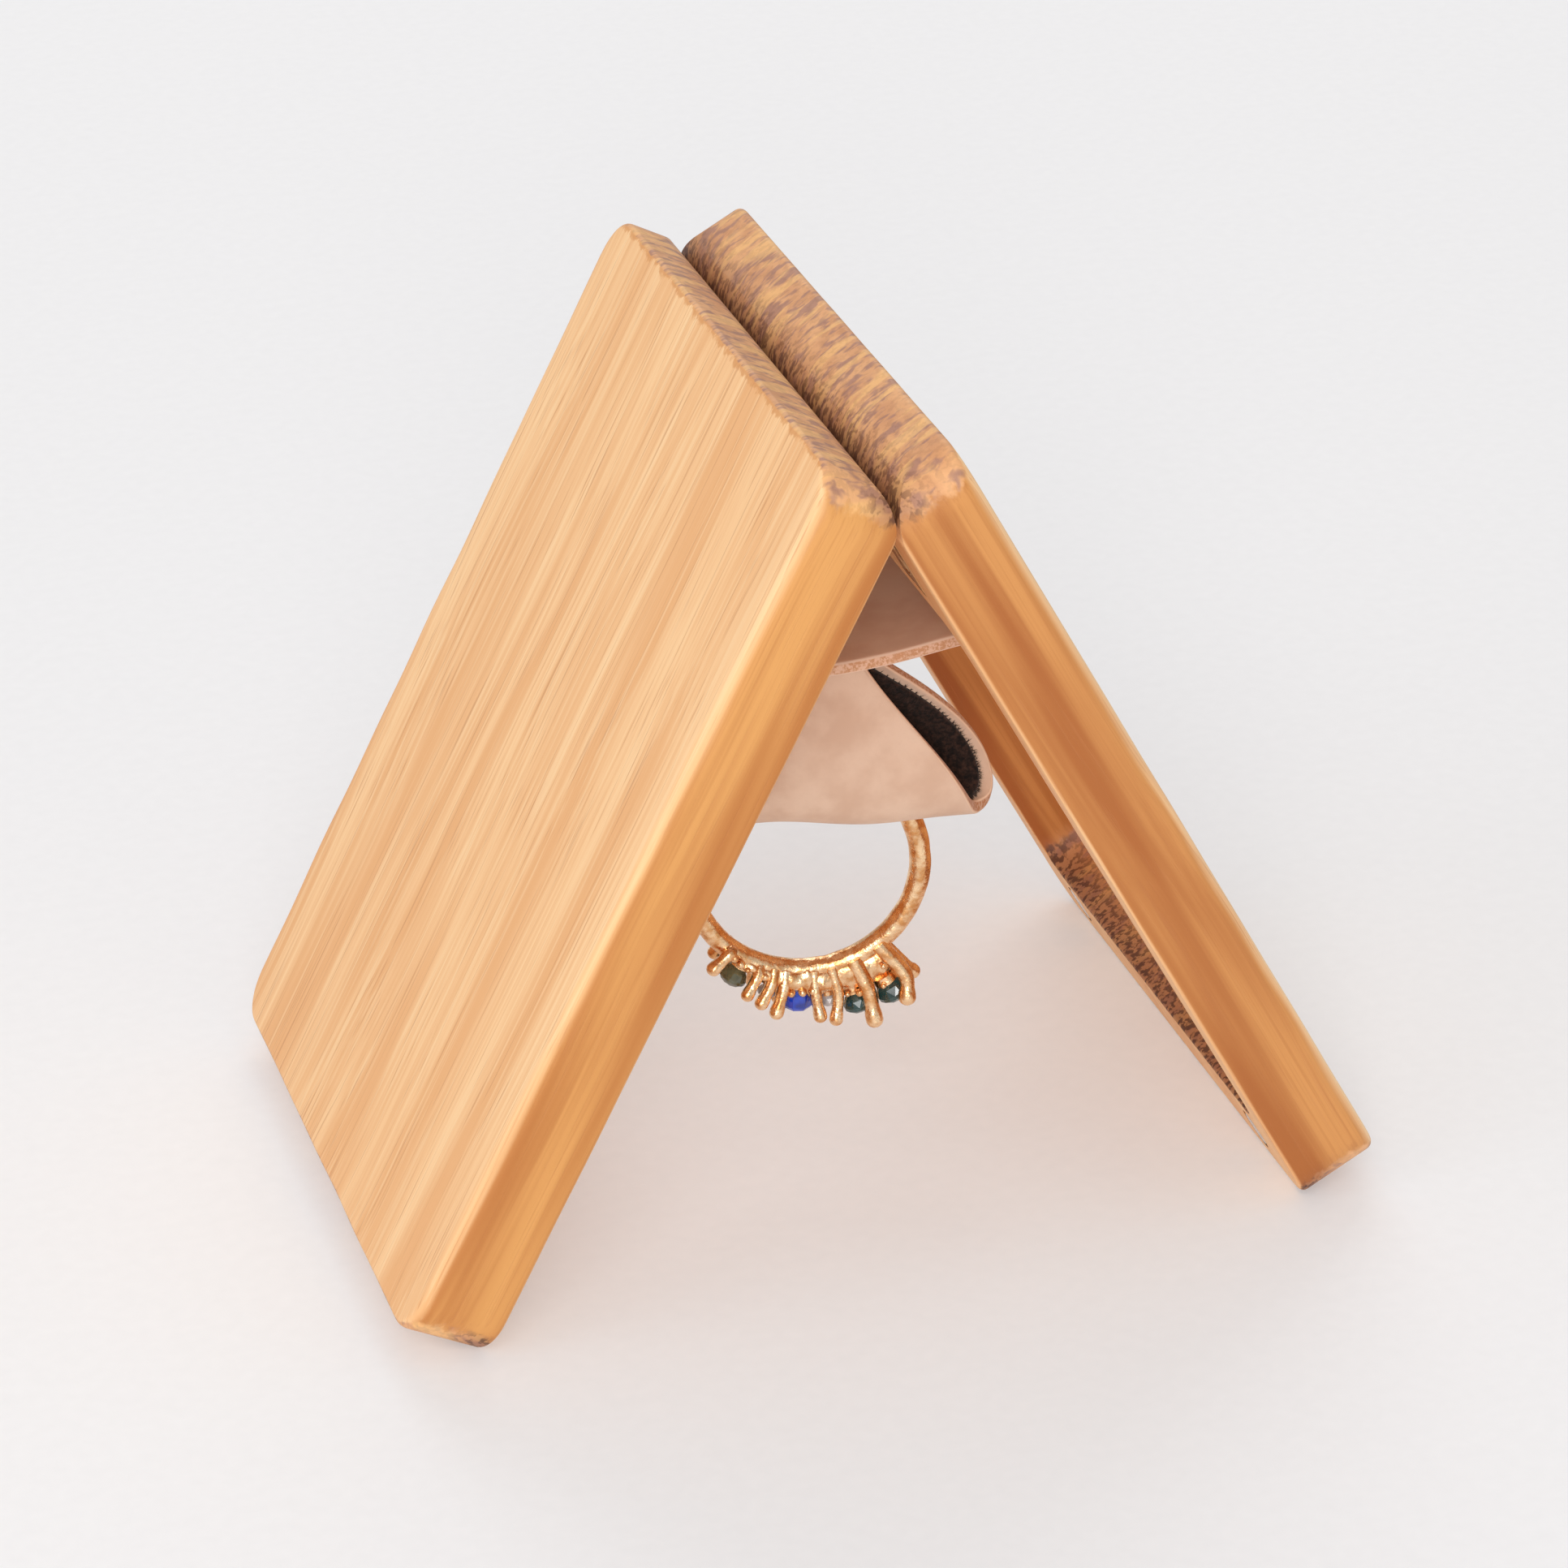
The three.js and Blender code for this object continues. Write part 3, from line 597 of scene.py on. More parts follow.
# %% Leather and suede materials
def leather_material(name, pale, deep, core, line):
    material, tree, shader = new_material(name)
    local = on_object(tree)
    cloud = noise(tree, stretched(tree, local, (260, 260, 260)), detail=3, roughness=0.55)
    grain = noise(tree, stretched(tree, local, (4200, 4200, 4200)), detail=2, roughness=0.6)
    edge = wire(tree, "ShaderNodeAttribute", attribute_name="cut_edge").outputs["Fac"]
    hide = mixed(tree, spread(tree, cloud, 0.35, 0.68), pale, deep)
    hide = mixed(tree, spread(tree, grain, 0.45, 0.8, 0.0, 0.18), hide, deep)
    # Painted highlight: pale lines where the cut edge rounds into each face, in the colour given as line.
    arris_highlight = times(tree, spread(tree, edge, 0.25, 0.45), spread(tree, edge, 0.75, 0.55))
    cut = mixed(tree, spread(tree, grain, 0.4, 0.6), core, deep)
    hide = mixed(tree, spread(tree, edge, 0.6, 0.8), hide, cut)
    hide = mixed(tree, arris_highlight, hide, line)
    set_inputs(shader, {"Base Color": hide}, Roughness=0.72, Specular_IOR_Level=0.3, Sheen_Weight=0.25,
               Sheen_Roughness=0.45)
    bumped(tree, shader, plus(tree, grain, times(tree, cloud, 2.0)), 0.03 * MM, 0.5)
    return material


def suede_material():
    material, tree, shader = new_material("dark_suede")
    local = on_object(tree)
    nap = noise(tree, stretched(tree, local, (2600, 2600, 2600)), detail=3, roughness=0.7)
    tone = mixed(tree, spread(tree, nap, 0.35, 0.75), colour(22, 17, 17), colour(66, 46, 38))
    set_inputs(shader, {"Base Color": tone},
               Roughness=0.95, Specular_IOR_Level=0.1, Sheen_Weight=0.15, Sheen_Roughness=0.6)
    bumped(tree, shader, nap, 0.12 * MM, 0.8)
    return material


# The band's hide is painted paler than the loop's: painted light for the band, which lies in the shade under
# the ridge.
band_leather_painted_paler = leather_material(
    "tan_leather_band_painted_paler", pale=colour(240, 204, 176), deep=colour(230, 188, 160),
    core=colour(206, 150, 110), line=colour(244, 212, 188))
loop_leather = leather_material(
    "tan_leather_loop", pale=colour(226, 197, 174), deep=colour(213, 180, 156),
    core=colour(190, 132, 92), line=colour(240, 212, 188))
suede = suede_material()

# %% [markdown]
# A strip of leather is a section carried along a line: a thin rectangle whose edges are softly rounded. The
# line gives the bend, and the two limits of the width may change along it, which is how a leaf shape is cut.

# %% A strip of leather
LEATHER = 1.1 * MM
EDGE_ROUND = 0.32 * MM


def smooth_line(points, count):
    """A Catmull-Rom curve through points, sampled evenly between each pair."""
    points = np.asarray(points, float)
    ends = np.concatenate([2 * points[:1] - points[1:2], points, 2 * points[-1:] - points[-2:-1]])
    t = np.linspace(0, 1, count, endpoint=False)[:, None]
    spans = [
        0.5 * (2 * b + (c - a) * t + (2 * a - 5 * b + 4 * c - d) * t ** 2 + (3 * b - a - 3 * c + d) * t ** 3)
        for a, b, c, d in zip(ends, ends[1:], ends[2:], ends[3:])]
    return np.concatenate(spans + [points[-1:]])


def strip_section(thickness, flat_steps):
    """Points round a strip's section, as four rows of numbers.

    They are the place across (-1 to 1), the inset from the edge, the level through the thickness, and how far
    round the cut edge the point lies (0 on the faces, 1 in the middle of the edge).
    """
    radius = min(EDGE_ROUND, thickness * 0.45)
    turn = np.linspace(0, np.pi / 2, 5)
    inset, drop = radius * (1 - np.sin(turn)), radius * (1 - np.cos(turn))
    bulge = np.linspace(1, -1, 5)[1:-1]
    side_inset = np.concatenate([inset, 0 * bulge, inset[::-1]])
    half = thickness / 2
    side_level = np.concatenate([half - drop, bulge * (half - radius), drop[::-1] - half])
    side_edge = 1 - np.abs(np.linspace(-1, 1, len(side_inset))) ** 2
    across = np.linspace(1, -1, flat_steps + 2)[1:-1]
    share = np.concatenate([np.ones(len(side_inset)), across, -np.ones(len(side_inset)), -across])
    level = np.concatenate([side_level, 0 * across - half, -side_level, 0 * across + half])
    inset = np.concatenate([side_inset, 0 * across, side_inset, 0 * across])
    edge = np.concatenate([side_edge, 0 * across, side_edge, 0 * across])
    return share, inset, level, edge


def strip(line, across, low, high, thickness, flat_steps=24):
    """A shell and its edge numbers: the section carried along the line, between two limits along across."""
    tangent = np.gradient(line, axis=0)
    tangent /= np.linalg.norm(tangent, axis=1, keepdims=True)
    normal = np.cross(np.broadcast_to(across, tangent.shape), tangent)
    share, inset, level, edge = strip_section(thickness, flat_steps)
    low, high = (np.broadcast_to(limit, len(line))[:, None] for limit in (low, high))
    place = (low + high) / 2 + share * (high - low) / 2
    place = place - np.sign(share) * np.where(np.abs(share) == 1, inset, 0)
    sideways = place[..., None] * np.asarray(across, float)
    grid = line[:, None] + sideways + level[None, :, None] * normal[:, None]
    return lofted(grid), np.tile(edge, len(line))


# %% [markdown]
# ## The band
# Its ends are glued to the floors of the two pockets, it turns off them, and it crosses the box in a shallow
# sag. It bends when the box shuts; here it has the one shape of the open box.

# %% Band
BAND_WIDTH, BAND_DEPTH = 25.0 * MM, 17.1 * MM
BAND_TAB_TOP, BAND_TAB_FOOT = 12.9 * MM, 18.5 * MM
BAND_SAG = ((0.36, 0.2 * MM), (0.72, 0.75 * MM))
TAB_OUT = inner_x + POCKET_DEPTH - FIT_GAP - LEATHER / 2


def on_open_cover(out, down):
    """A place on the open back cover, from its distance out of the meeting plane and down from the axis."""
    cos, sin = math.cos(half_opening), math.sin(half_opening)
    return np.array([out * cos + down * sin, 0, out * sin - down * cos])


bend = on_open_cover(TAB_OUT - 0.4 * MM, BAND_TAB_FOOT + 1.5 * MM)
right_half = [
    *(np.array([share * bend[0], 0, rise - BAND_DEPTH]) for share, rise in BAND_SAG),
    bend, on_open_cover(TAB_OUT, BAND_TAB_FOOT), on_open_cover(TAB_OUT, BAND_TAB_TOP),
]
left_half = [point * [-1, 1, 1] for point in right_half[::-1]]
band_line = smooth_line([*left_half, np.array([0, 0, -BAND_DEPTH]), *right_half], 10) + np.array(pivot)
(band_vertices, band_faces), band_edge = strip(band_line, (0, 1, 0), -BAND_WIDTH / 2, BAND_WIDTH / 2, LEATHER)
band = piece("band_leather_painted_paler", band_vertices, band_faces, band_leather_painted_paler)
paint_vertices(band, "cut_edge", band_edge)
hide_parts("leather_band")
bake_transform(band)

# %% [markdown]
# ## The loop and its lining
# The loop is a leaf of the same hide, folded over once. Its line is half of the fold mirrored: a quarter
# ellipse up to the widest place, then a smooth narrowing to the neck. The leaf was folded a little askew, so
# the back layer reaches further to one side and shows the dark suede inside. The lining follows the same
# line, one thickness further in, and a fringe of short nap fibres softens its edge.

# %% Loop
LOOP_YAW, LOOP_OFFSET, LOOP_HEIGHT = math.radians(-10), -3.5 * MM, 16.85 * MM
LOOP_HALF_THICKNESS, LOOP_NECK_HALF, LOOP_WIDEST_AT = 3.3 * MM, 1.3 * MM, 0.3
LOOP_HALF_LENGTH, LOOP_NECK_HALF_LENGTH = 14.4 * MM, 3.4 * MM
LOOP_SKEW = 1.6 * MM
FOLD_LIFT, FOLD_TILT, FOLD_LIFT_REACH, FOLD_LIFT_FADE = 0.5 * MM, -0.16, 11.0 * MM, 4.0 * MM
loop_foot = pivot.z - BAND_DEPTH - LEATHER / 2 - FIT_GAP - LOOP_HEIGHT
LOOP_PLACE = Matrix.Translation((0, LOOP_OFFSET, loop_foot)) @ Matrix.Rotation(LOOP_YAW, 4, "Z")


def fold_line(offset, top, steps=48):
    """The fold's line, offset inwards: height and half thickness, mirrored from front to back."""
    rise = LOOP_HEIGHT * np.linspace(0, top, steps) ** 1.7
    share = rise / LOOP_HEIGHT
    widest = LOOP_HALF_THICKNESS - offset
    round_part = widest * np.sqrt(np.clip(1 - (1 - share / LOOP_WIDEST_AT) ** 2, 0, 1))
    neck = LOOP_NECK_HALF - offset
    narrowing = (share - LOOP_WIDEST_AT) / (1 - LOOP_WIDEST_AT)
    upper = neck + (widest - neck) * (1 + np.cos(np.pi * narrowing)) / 2
    half = np.where(share < LOOP_WIDEST_AT, round_part, upper)
    back = np.stack([0 * half, half, offset + rise * (1 - offset / LOOP_HEIGHT)], axis=1)
    return np.concatenate([back[:0:-1] * [1, -1, 1], back])


def leaf_limits(line):
    """How far the leaf reaches to each side along the line: a rounded foot, a narrow neck, a little askew."""
    share = np.clip(line[:, 2] / LOOP_HEIGHT, 0, 1)
    swell = np.cos(np.pi * share / 2) ** 1.3
    reach = LOOP_NECK_HALF_LENGTH + (LOOP_HALF_LENGTH - LOOP_NECK_HALF_LENGTH) * swell
    side = np.tanh(line[:, 1] / (1.2 * MM)) * np.sin(np.pi * np.clip(share + 0.12, 0, 1)) ** 0.5
    return -reach + LOOP_SKEW * side, reach + LOOP_SKEW * side


def hung(points):
    """The fold put in its place, and lifted and tilted where the ring hangs in it, less and less upwards."""
    x, z = points[:, 0], points[:, 2]
    lift = (FOLD_LIFT + FOLD_TILT * x) * np.cos(np.clip(x / FOLD_LIFT_REACH, -1, 1) * np.pi / 2) ** 2
    moved = points.copy()
    moved[:, 2] += lift * np.exp(-np.abs(z) / FOLD_LIFT_FADE)
    return placed(moved, LOOP_PLACE)


loop_line = fold_line(LEATHER / 2, 1.0)
low, high = leaf_limits(loop_line)
(loop_vertices, loop_faces), loop_edge = strip(loop_line, (1, 0, 0), low, high, LEATHER, 40)
loop_piece = piece("loop_leather", hung(loop_vertices), loop_faces, loop_leather)
paint_vertices(loop_piece, "cut_edge", loop_edge)
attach(loop_piece, "ring_holder")
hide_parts("ring_loop")

# %% Lining with its nap
LINING, LINING_MARGIN = 0.5 * MM, 0.9 * MM
NAP_FIBRES, NAP_LENGTH, NAP_RADIUS, NAP_EDGE_SHARE = 2600, 0.5 * MM, 0.035 * MM, 0.6

lining_line = fold_line(LEATHER + LINING / 2, 0.86)
low, high = leaf_limits(lining_line)
low, high = low + LINING_MARGIN, high - LINING_MARGIN
(lining_vertices, lining_faces), _ = strip(lining_line, (1, 0, 0), low, high, LINING, 24)


def nap(line, low, high):
    """Short fibres: thin three-sided spikes on the lining's inner side, at random places and leans."""
    row = rng.integers(1, len(line) - 1, NAP_FIBRES)
    on_edge = rng.random(NAP_FIBRES) < NAP_EDGE_SHARE
    share = np.where(on_edge, rng.choice([0.0, 1.0], NAP_FIBRES), rng.random(NAP_FIBRES))
    foot = line[row] + np.stack([low[row] + share * (high - low)[row], 0 * share, 0 * share], axis=1)
    tangent = (line[row + 1] - line[row - 1]) / np.linalg.norm(line[row + 1] - line[row - 1], axis=1)[:, None]
    inward = np.cross(tangent, (1, 0, 0))
    outward_x = np.stack([(share - 0.5) * 1.6, 0 * share, 0 * share], axis=1)
    lean = inward * 0.55 + outward_x + rng.normal(0, 0.35, (NAP_FIBRES, 3))
    lean /= np.linalg.norm(lean, axis=1)[:, None]
    tip = foot + lean * NAP_LENGTH * rng.uniform(0.5, 1.2, (NAP_FIBRES, 1))
    angle = np.arange(3) * 2 * np.pi / 3
    circle = NAP_RADIUS * np.stack([np.cos(angle), np.sin(angle), 0 * angle], axis=1)
    vertices = np.concatenate([foot[:, None] + circle, tip[:, None]], axis=1).reshape(-1, 3)
    pattern = np.array([[0, 1, 2], [0, 3, 1], [1, 3, 2], [2, 3, 0]])
    faces = (pattern[None] + 4 * np.arange(NAP_FIBRES)[:, None, None]).reshape(-1, 3)
    return vertices, faces.tolist()


lining_vertices, lining_faces = merged([(lining_vertices, lining_faces), nap(lining_line, low, high)])
lining = piece("loop_suede_lining", hung(lining_vertices), lining_faces, suede)
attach(lining, "ring_holder")
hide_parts("loop_lining")

# %% [markdown]
# ## Metals
# Gold and brass are the Principled shader at full metallic. Cast gold is never a mirror: fine noise in the
# bump and the roughness breaks the reflections into soft patches, and the colour is a little deeper in some
# of those patches.

# %% Metal materials
def metal_material(name, bright, deep, roughness, patch, depth):
    material, tree, shader = new_material(name)
    local = on_object(tree)
    patches = noise(tree, stretched(tree, local, (patch, patch, patch)), detail=2, roughness=0.5)
    grit = noise(tree, stretched(tree, local, (5200, 5200, 5200)), detail=2, roughness=0.6)
    tone = mixed(tree, spread(tree, patches, 0.35, 0.7), bright, deep)
    gloss = plus(tree, times(tree, patches, 0.14), times(tree, grit, roughness))
    set_inputs(shader, {"Base Color": tone, "Roughness": gloss}, Metallic=1.0)
    bumped(tree, shader, plus(tree, times(tree, patches, 2.0), times(tree, grit, 0.5)), depth, 0.5)
    return material


gold = metal_material("cast_gold", colour(252, 216, 172), colour(222, 162, 104), 0.42, 1300, 0.08 * MM)
brass = metal_material("polished_brass", colour(246, 214, 160), colour(222, 178, 116), 0.2, 420, 0.01 * MM)
nickel = metal_material("satin_nickel", colour(214, 212, 210), colour(188, 186, 184), 0.4, 500, 0.01 * MM)

# %% [markdown]
# ## The ring
# The hoop is a torus whose wire swells and shrinks a little, as a hand-finished casting does. The setting
# under it stands higher to one side: a lumpy cast gallery with beads on it, claws that are tubes carried
# along a short line to a ball tip, and a small cup for the point of each stone. Claws are listed by their
# angle round the ring from straight down, by how far the tip lies beyond the wire's centre line, and by how
# stout they are. Stones are listed by angle, by how far out the girdle lies, and by radius.

# %% Ring geometry
RING_INNER, RING_WIRE, RING_DROP = 8.35 * MM, 0.87 * MM, 3.8 * MM
RING_CENTRE = RING_INNER + RING_WIRE
CLAWS = ((-43.5, 1.7, 1.0), (-25, 2.5, 1.0), (-17.5, 2.6, 0.9), (-11.5, 3.5, 1.0),
         (2.5, 3.6, 1.0), (11.5, 4.5, 0.95), (23.2, 5.5, 1.3), (38, 5.1, 1.15))
FOOT_SPREAD, RAIL_SPREAD, TIP_SPREAD = 0.5 * MM, 1.1 * MM, 1.6 * MM
CLAW_WIRE, CLAW_TIP = 0.46 * MM, 0.6 * MM
RAIL_RISE, RAIL_SLOPE = 1.75 * MM, 0.04 * MM
GALLERY_HALF_WIDTH = 1.15 * MM
HAMMER_MARKS, CAST_LUMPS = 190, 90
BEAD_ANGLES = np.arange(-40, 38, 4.6)
STONES = {
    "stone_olive": (-33, 1.95 * MM, 1.2 * MM), "stone_clear_small": (-17, 2.35 * MM, 0.75 * MM),
    "stone_blue": (-4.3, 2.85 * MM, 1.3 * MM), "stone_clear_round": (7.8, 3.2 * MM, 0.75 * MM),
    "stone_teal_front": (17.6, 4.2 * MM, 1.2 * MM), "stone_teal_end": (30.5, 4.5 * MM, 1.45 * MM),
}
RING_PLACE = LOOP_PLACE @ Matrix.Translation((0, 0, -RING_DROP))


def round_ring(degrees, distance, side=0.0):
    """A place by an angle from straight down, a distance from the centre, and a distance beside the plane."""
    angle = np.radians(degrees)
    return np.stack(np.broadcast_arrays(distance * np.sin(angle), side, -distance * np.cos(angle)), axis=-1)


def full_turn(steps):
    """Evenly spaced angles round a whole turn."""
    return np.linspace(0, 2 * np.pi, steps, endpoint=False)


def random_spots(seed, count, along, size):
    """Spots on a ring's skin: a place along it, a place round the section, and a size in millimetres."""
    random = np.random.default_rng(seed)
    limits = (along, (0, 2 * np.pi), size)
    return zip(*(random.uniform(*limit, count) for limit in limits))


def tube(line, radius, sides=16):
    """A round tube along a line with a radius at each point, closed at both ends."""
    tangent = np.gradient(line, axis=0)
    tangent /= np.linalg.norm(tangent, axis=1, keepdims=True)
    aside = np.array([0.31, 0.87, 0.38])
    first = np.cross(tangent, aside)
    first /= np.linalg.norm(first, axis=1, keepdims=True)
    second = np.cross(tangent, first)
    angle = full_turn(sides)[None, :, None]
    around = first[:, None] * np.cos(angle) + second[:, None] * np.sin(angle)
    return lofted(line[:, None] + around * np.broadcast_to(radius, len(line))[:, None, None])


def hammered_hoop(steps=260, sides=40):
    """A torus whose wire radius follows soft hammer marks: a sum of shallow round dents at random places."""
    angle, turn = np.meshgrid(full_turn(steps), full_turn(sides), indexing="ij")
    dent = np.zeros_like(angle)
    for at, around, size in random_spots(21, HAMMER_MARKS, (0, 2 * np.pi), (0.5, 1.1)):
        along = (np.angle(np.exp(1j * (angle - at))) * RING_CENTRE) / MM
        across = (np.angle(np.exp(1j * (turn - around))) * RING_WIRE) / MM
        dent += np.exp(-(along ** 2 + across ** 2) / (0.5 * size ** 2)) * 0.035
    radius = RING_WIRE * (1.02 - dent)
    out = RING_CENTRE + radius * np.cos(turn)
    grid = np.stack([out * np.sin(angle), 1.05 * radius * np.sin(turn), -out * np.cos(angle)], axis=-1)
    return grid.reshape(-1, 3), grid_faces(steps, sides, closed_rows=True)


def rail_rise(degrees):
    """How far the gallery's foot lies beyond the wire's centre line."""
    return RAIL_RISE + RAIL_SLOPE * degrees


def gallery(steps=150, sides=36):
    """The cast mass between the hoop and the stones: an upright oval section, roughened by random lumps."""
    first, last = CLAWS[0][0], CLAWS[-1][0]
    degrees, turn = np.meshgrid(np.linspace(first, last, steps), full_turn(sides), indexing="ij")
    swell = np.ones_like(degrees)
    for at, around, size in random_spots(33, CAST_LUMPS, (-44, 38), (0.3, 0.7)):
        along = np.radians(degrees - at) * RING_CENTRE / MM
        across = np.angle(np.exp(1j * (turn - around)))
        swell += 0.13 * np.exp(-(along ** 2 + across ** 2) / size ** 2)
    ends = np.sin(np.pi * np.clip((degrees - first) / (last - first), 0.02, 0.98)) ** 0.25
    half = (0.5 * rail_rise(degrees).clip(0.9 * MM) + 0.25 * MM) * ends
    out = RING_CENTRE + 0.5 * rail_rise(degrees) + half * swell * np.cos(turn)
    return lofted(round_ring(degrees, out, GALLERY_HALF_WIDTH * ends * swell * np.sin(turn)))


def claw(degrees, reach, stout, side, random):
    """A tube from the hoop past the gallery to a ball tip, with its own slight lean and length."""
    lean, stretch = random.normal(0, 2.2), random.uniform(0.93, 1.03)
    size = stout * random.uniform(0.88, 1.08)
    line = smooth_line([
        round_ring(degrees, RING_CENTRE, side * FOOT_SPREAD),
        round_ring(degrees, RING_CENTRE + rail_rise(degrees), side * RAIL_SPREAD),
        round_ring(degrees + lean, RING_CENTRE + reach * stretch * MM, side * TIP_SPREAD),
    ], 14)
    share = np.linspace(0, 1, len(line))
    stem, tip = CLAW_WIRE * size * (1.3 - 0.3 * share), CLAW_TIP * size
    tip_share = np.clip((share - 0.72) / 0.22, 0, 1)
    swell = stem + (tip - stem) * tip_share ** 2 * (3 - 2 * tip_share)
    last = line[-1] - line[-2]
    cap = np.linspace(0.15, np.pi / 2 - 0.05, 7)
    ball = line[-1] + (last / np.linalg.norm(last))[None] * (tip * np.sin(cap) * 0.9)[:, None]
    return tube(np.concatenate([line, ball]), np.concatenate([swell, tip * np.cos(cap)]))


def bead(degrees, rise, side, radius, steps=12, sides=16):
    """A small ball of cast gold: circles from pole to pole."""
    polar = np.linspace(0.08, np.pi - 0.08, steps)[:, None]
    angle = full_turn(sides)[None]
    flat = np.sin(polar)
    ball = np.stack([flat * np.cos(angle), flat * np.sin(angle), np.cos(polar) + 0 * angle], axis=-1)
    return lofted(round_ring(degrees, RING_CENTRE + rise, side) + radius * ball)


def turned(profile, degrees, rise, sides=40):
    """A profile of (radius, height) turned about the direction that points out of the ring at an angle."""
    angle = full_turn(sides)
    outwards = round_ring(degrees, 1.0)
    along = round_ring(degrees + 90, 1.0)
    radius, height = np.asarray(profile, float).T
    around = np.cos(angle)[:, None] * along + np.sin(angle)[:, None] * np.array([0, 1, 0])
    centre = round_ring(degrees, RING_CENTRE + rise)
    grid = centre + radius[:, None, None] * around[None] + height[:, None, None] * outwards
    return grid.reshape(-1, 3), grid_faces(len(radius), sides, closed_rows=True)


def cup(degrees, rise, radius):
    """A thick-walled open cone that holds the point of a stone, standing a little out of the gallery."""
    low, wall = rail_rise(degrees) - rise - 0.3 * MM, 0.17 * MM
    top = low + 0.65 * MM
    inner = [(0.3 * radius, low), (0.5 * radius, top)]
    outer = [(0.5 * radius + 2 * wall, top), (0.4 * radius + 2 * wall, low)]
    return turned(inner + outer, degrees, rise)


random = np.random.default_rng(5)
ring_shells = [hammered_hoop(), gallery()]
ring_shells += [claw(*each, side, random) for each in CLAWS for side in (-1, 1)]
ring_shells += [cup(*stone) for stone in STONES.values()]
ring_shells += [
    bead(degrees, rail_rise(degrees) * random.uniform(0.5, 1.15), side * GALLERY_HALF_WIDTH,
         random.uniform(0.2, 0.38) * MM)
    for degrees in BEAD_ANGLES for side in (-1, 1)]
ring_vertices, ring_faces = merged(ring_shells)
ring = piece("cast_gold_ring", placed(ring_vertices, RING_PLACE), ring_faces, gold, 60)
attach(ring, "ring_holder")
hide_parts("gold_ring")

# %% [markdown]
# ## Cut stones
# A cut stone is the convex hull of a few rings of points: the table, the crown, the girdle, the pavilion and
# the culet. Round stones have sixteen points at the girdle, and the blue one is step cut, on an octagon. The
# faces stay flat, and coloured glass of a high index, only partly clear, does the rest.

# %% Stones
def gem_material(name, tint, ior=1.77):
    material, tree, shader = new_material(name)
    local = on_object(tree)
    silk = noise(tree, stretched(tree, local, (900, 900, 900)), detail=2)
    shade_of = tuple(0.45 * part for part in tint[:3]) + (1.0,)
    set_inputs(shader, {"Base Color": mixed(tree, spread(tree, silk, 0.4, 0.7), tint, shade_of)},
               Roughness=0.05, IOR=ior, Transmission_Weight=0.35)
    return material


GEM_MATERIALS = {
    "olive": gem_material("olive_stone_glass", colour(112, 112, 82)),
    "blue": gem_material("blue_stone_glass", colour(26, 78, 226)),
    "clear": gem_material("clear_stone_glass", colour(236, 232, 232)),
    "teal": gem_material("teal_stone_glass", colour(50, 84, 82)),
}


# Rings of a cut, each as its count of points, radius, height and turn in sixteenths.
STEP_CUT = ((8, 0.6, 0.5, 1), (8, 0.84, 0.36, 1), (8, 1.0, 0.14, 1), (8, 1.0, -0.3, 1), (8, 0.94, -0.68, 1),
            (8, 0.78, -1.0, 1), (8, 0.4, -1.25, 1))
ROUND_CUT = ((8, 0.56, 0.46, 0), (8, 0.82, 0.3, 1), (16, 1.0, 0.08, 0), (16, 1.0, -0.14, 0),
             (8, 0.8, -0.55, 1), (8, 0.3, -1.05, 0))


def ring_of_points(count, radius, height, sixteenths):
    """Points round a circle at a height."""
    angle = full_turn(count) + sixteenths * np.pi / 8
    return np.stack([radius * np.cos(angle), radius * np.sin(angle), np.full(count, height)], axis=1)


def cut_stone(name):
    """One faceted stone in its seat, table outwards."""
    degrees, rise, radius = STONES[name]
    cut = STEP_CUT if name == "stone_blue" else ROUND_CUT
    points = np.concatenate([ring_of_points(*ring) for ring in cut]) * radius
    outwards, along = round_ring(degrees, 1.0), round_ring(degrees + 90, 1.0)
    points = (points[:, :1] * along + points[:, 1:2] * np.array([0, 1, 0]) + points[:, 2:] * outwards
              + round_ring(degrees, RING_CENTRE + rise))
    shell = bmesh.new()
    for point in placed(points, RING_PLACE):
        shell.verts.new(point)
    hull = bmesh.ops.convex_hull(shell, input=shell.verts)
    inside = {part for part in hull["geom_interior"] if isinstance(part, bmesh.types.BMVert)}
    bmesh.ops.delete(shell, geom=list(inside), context="VERTS")
    bmesh.ops.dissolve_limit(shell, angle_limit=math.radians(1), verts=shell.verts, edges=shell.edges)
    bmesh.ops.recalc_face_normals(shell, faces=shell.faces)
    mesh = bpy.data.meshes.new(name)
    shell.to_mesh(mesh)
    shell.free()
    shade(mesh, 0)
    kind = name.split("_")[1]
    mesh.materials.append(GEM_MATERIALS[kind])
    stone = linked(f"cut_{name}", mesh)
    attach(stone, "ring_holder")
    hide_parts(name)
    return stone


for name in STONES:
    print(cut_stone(name).name)

# %% [markdown]
# ## Hinges, screws, pins and magnets
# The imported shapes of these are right, down to the countersunk screws, so they are kept. A copy of each has
# its loose triangles merged and its flat faces joined again, and gets a very small bevel, because an edge
# with no bevel catches no light and looks like a drawing.

# %% Fine copies of the small metal parts
METAL_BEVEL = 0.07 * MM


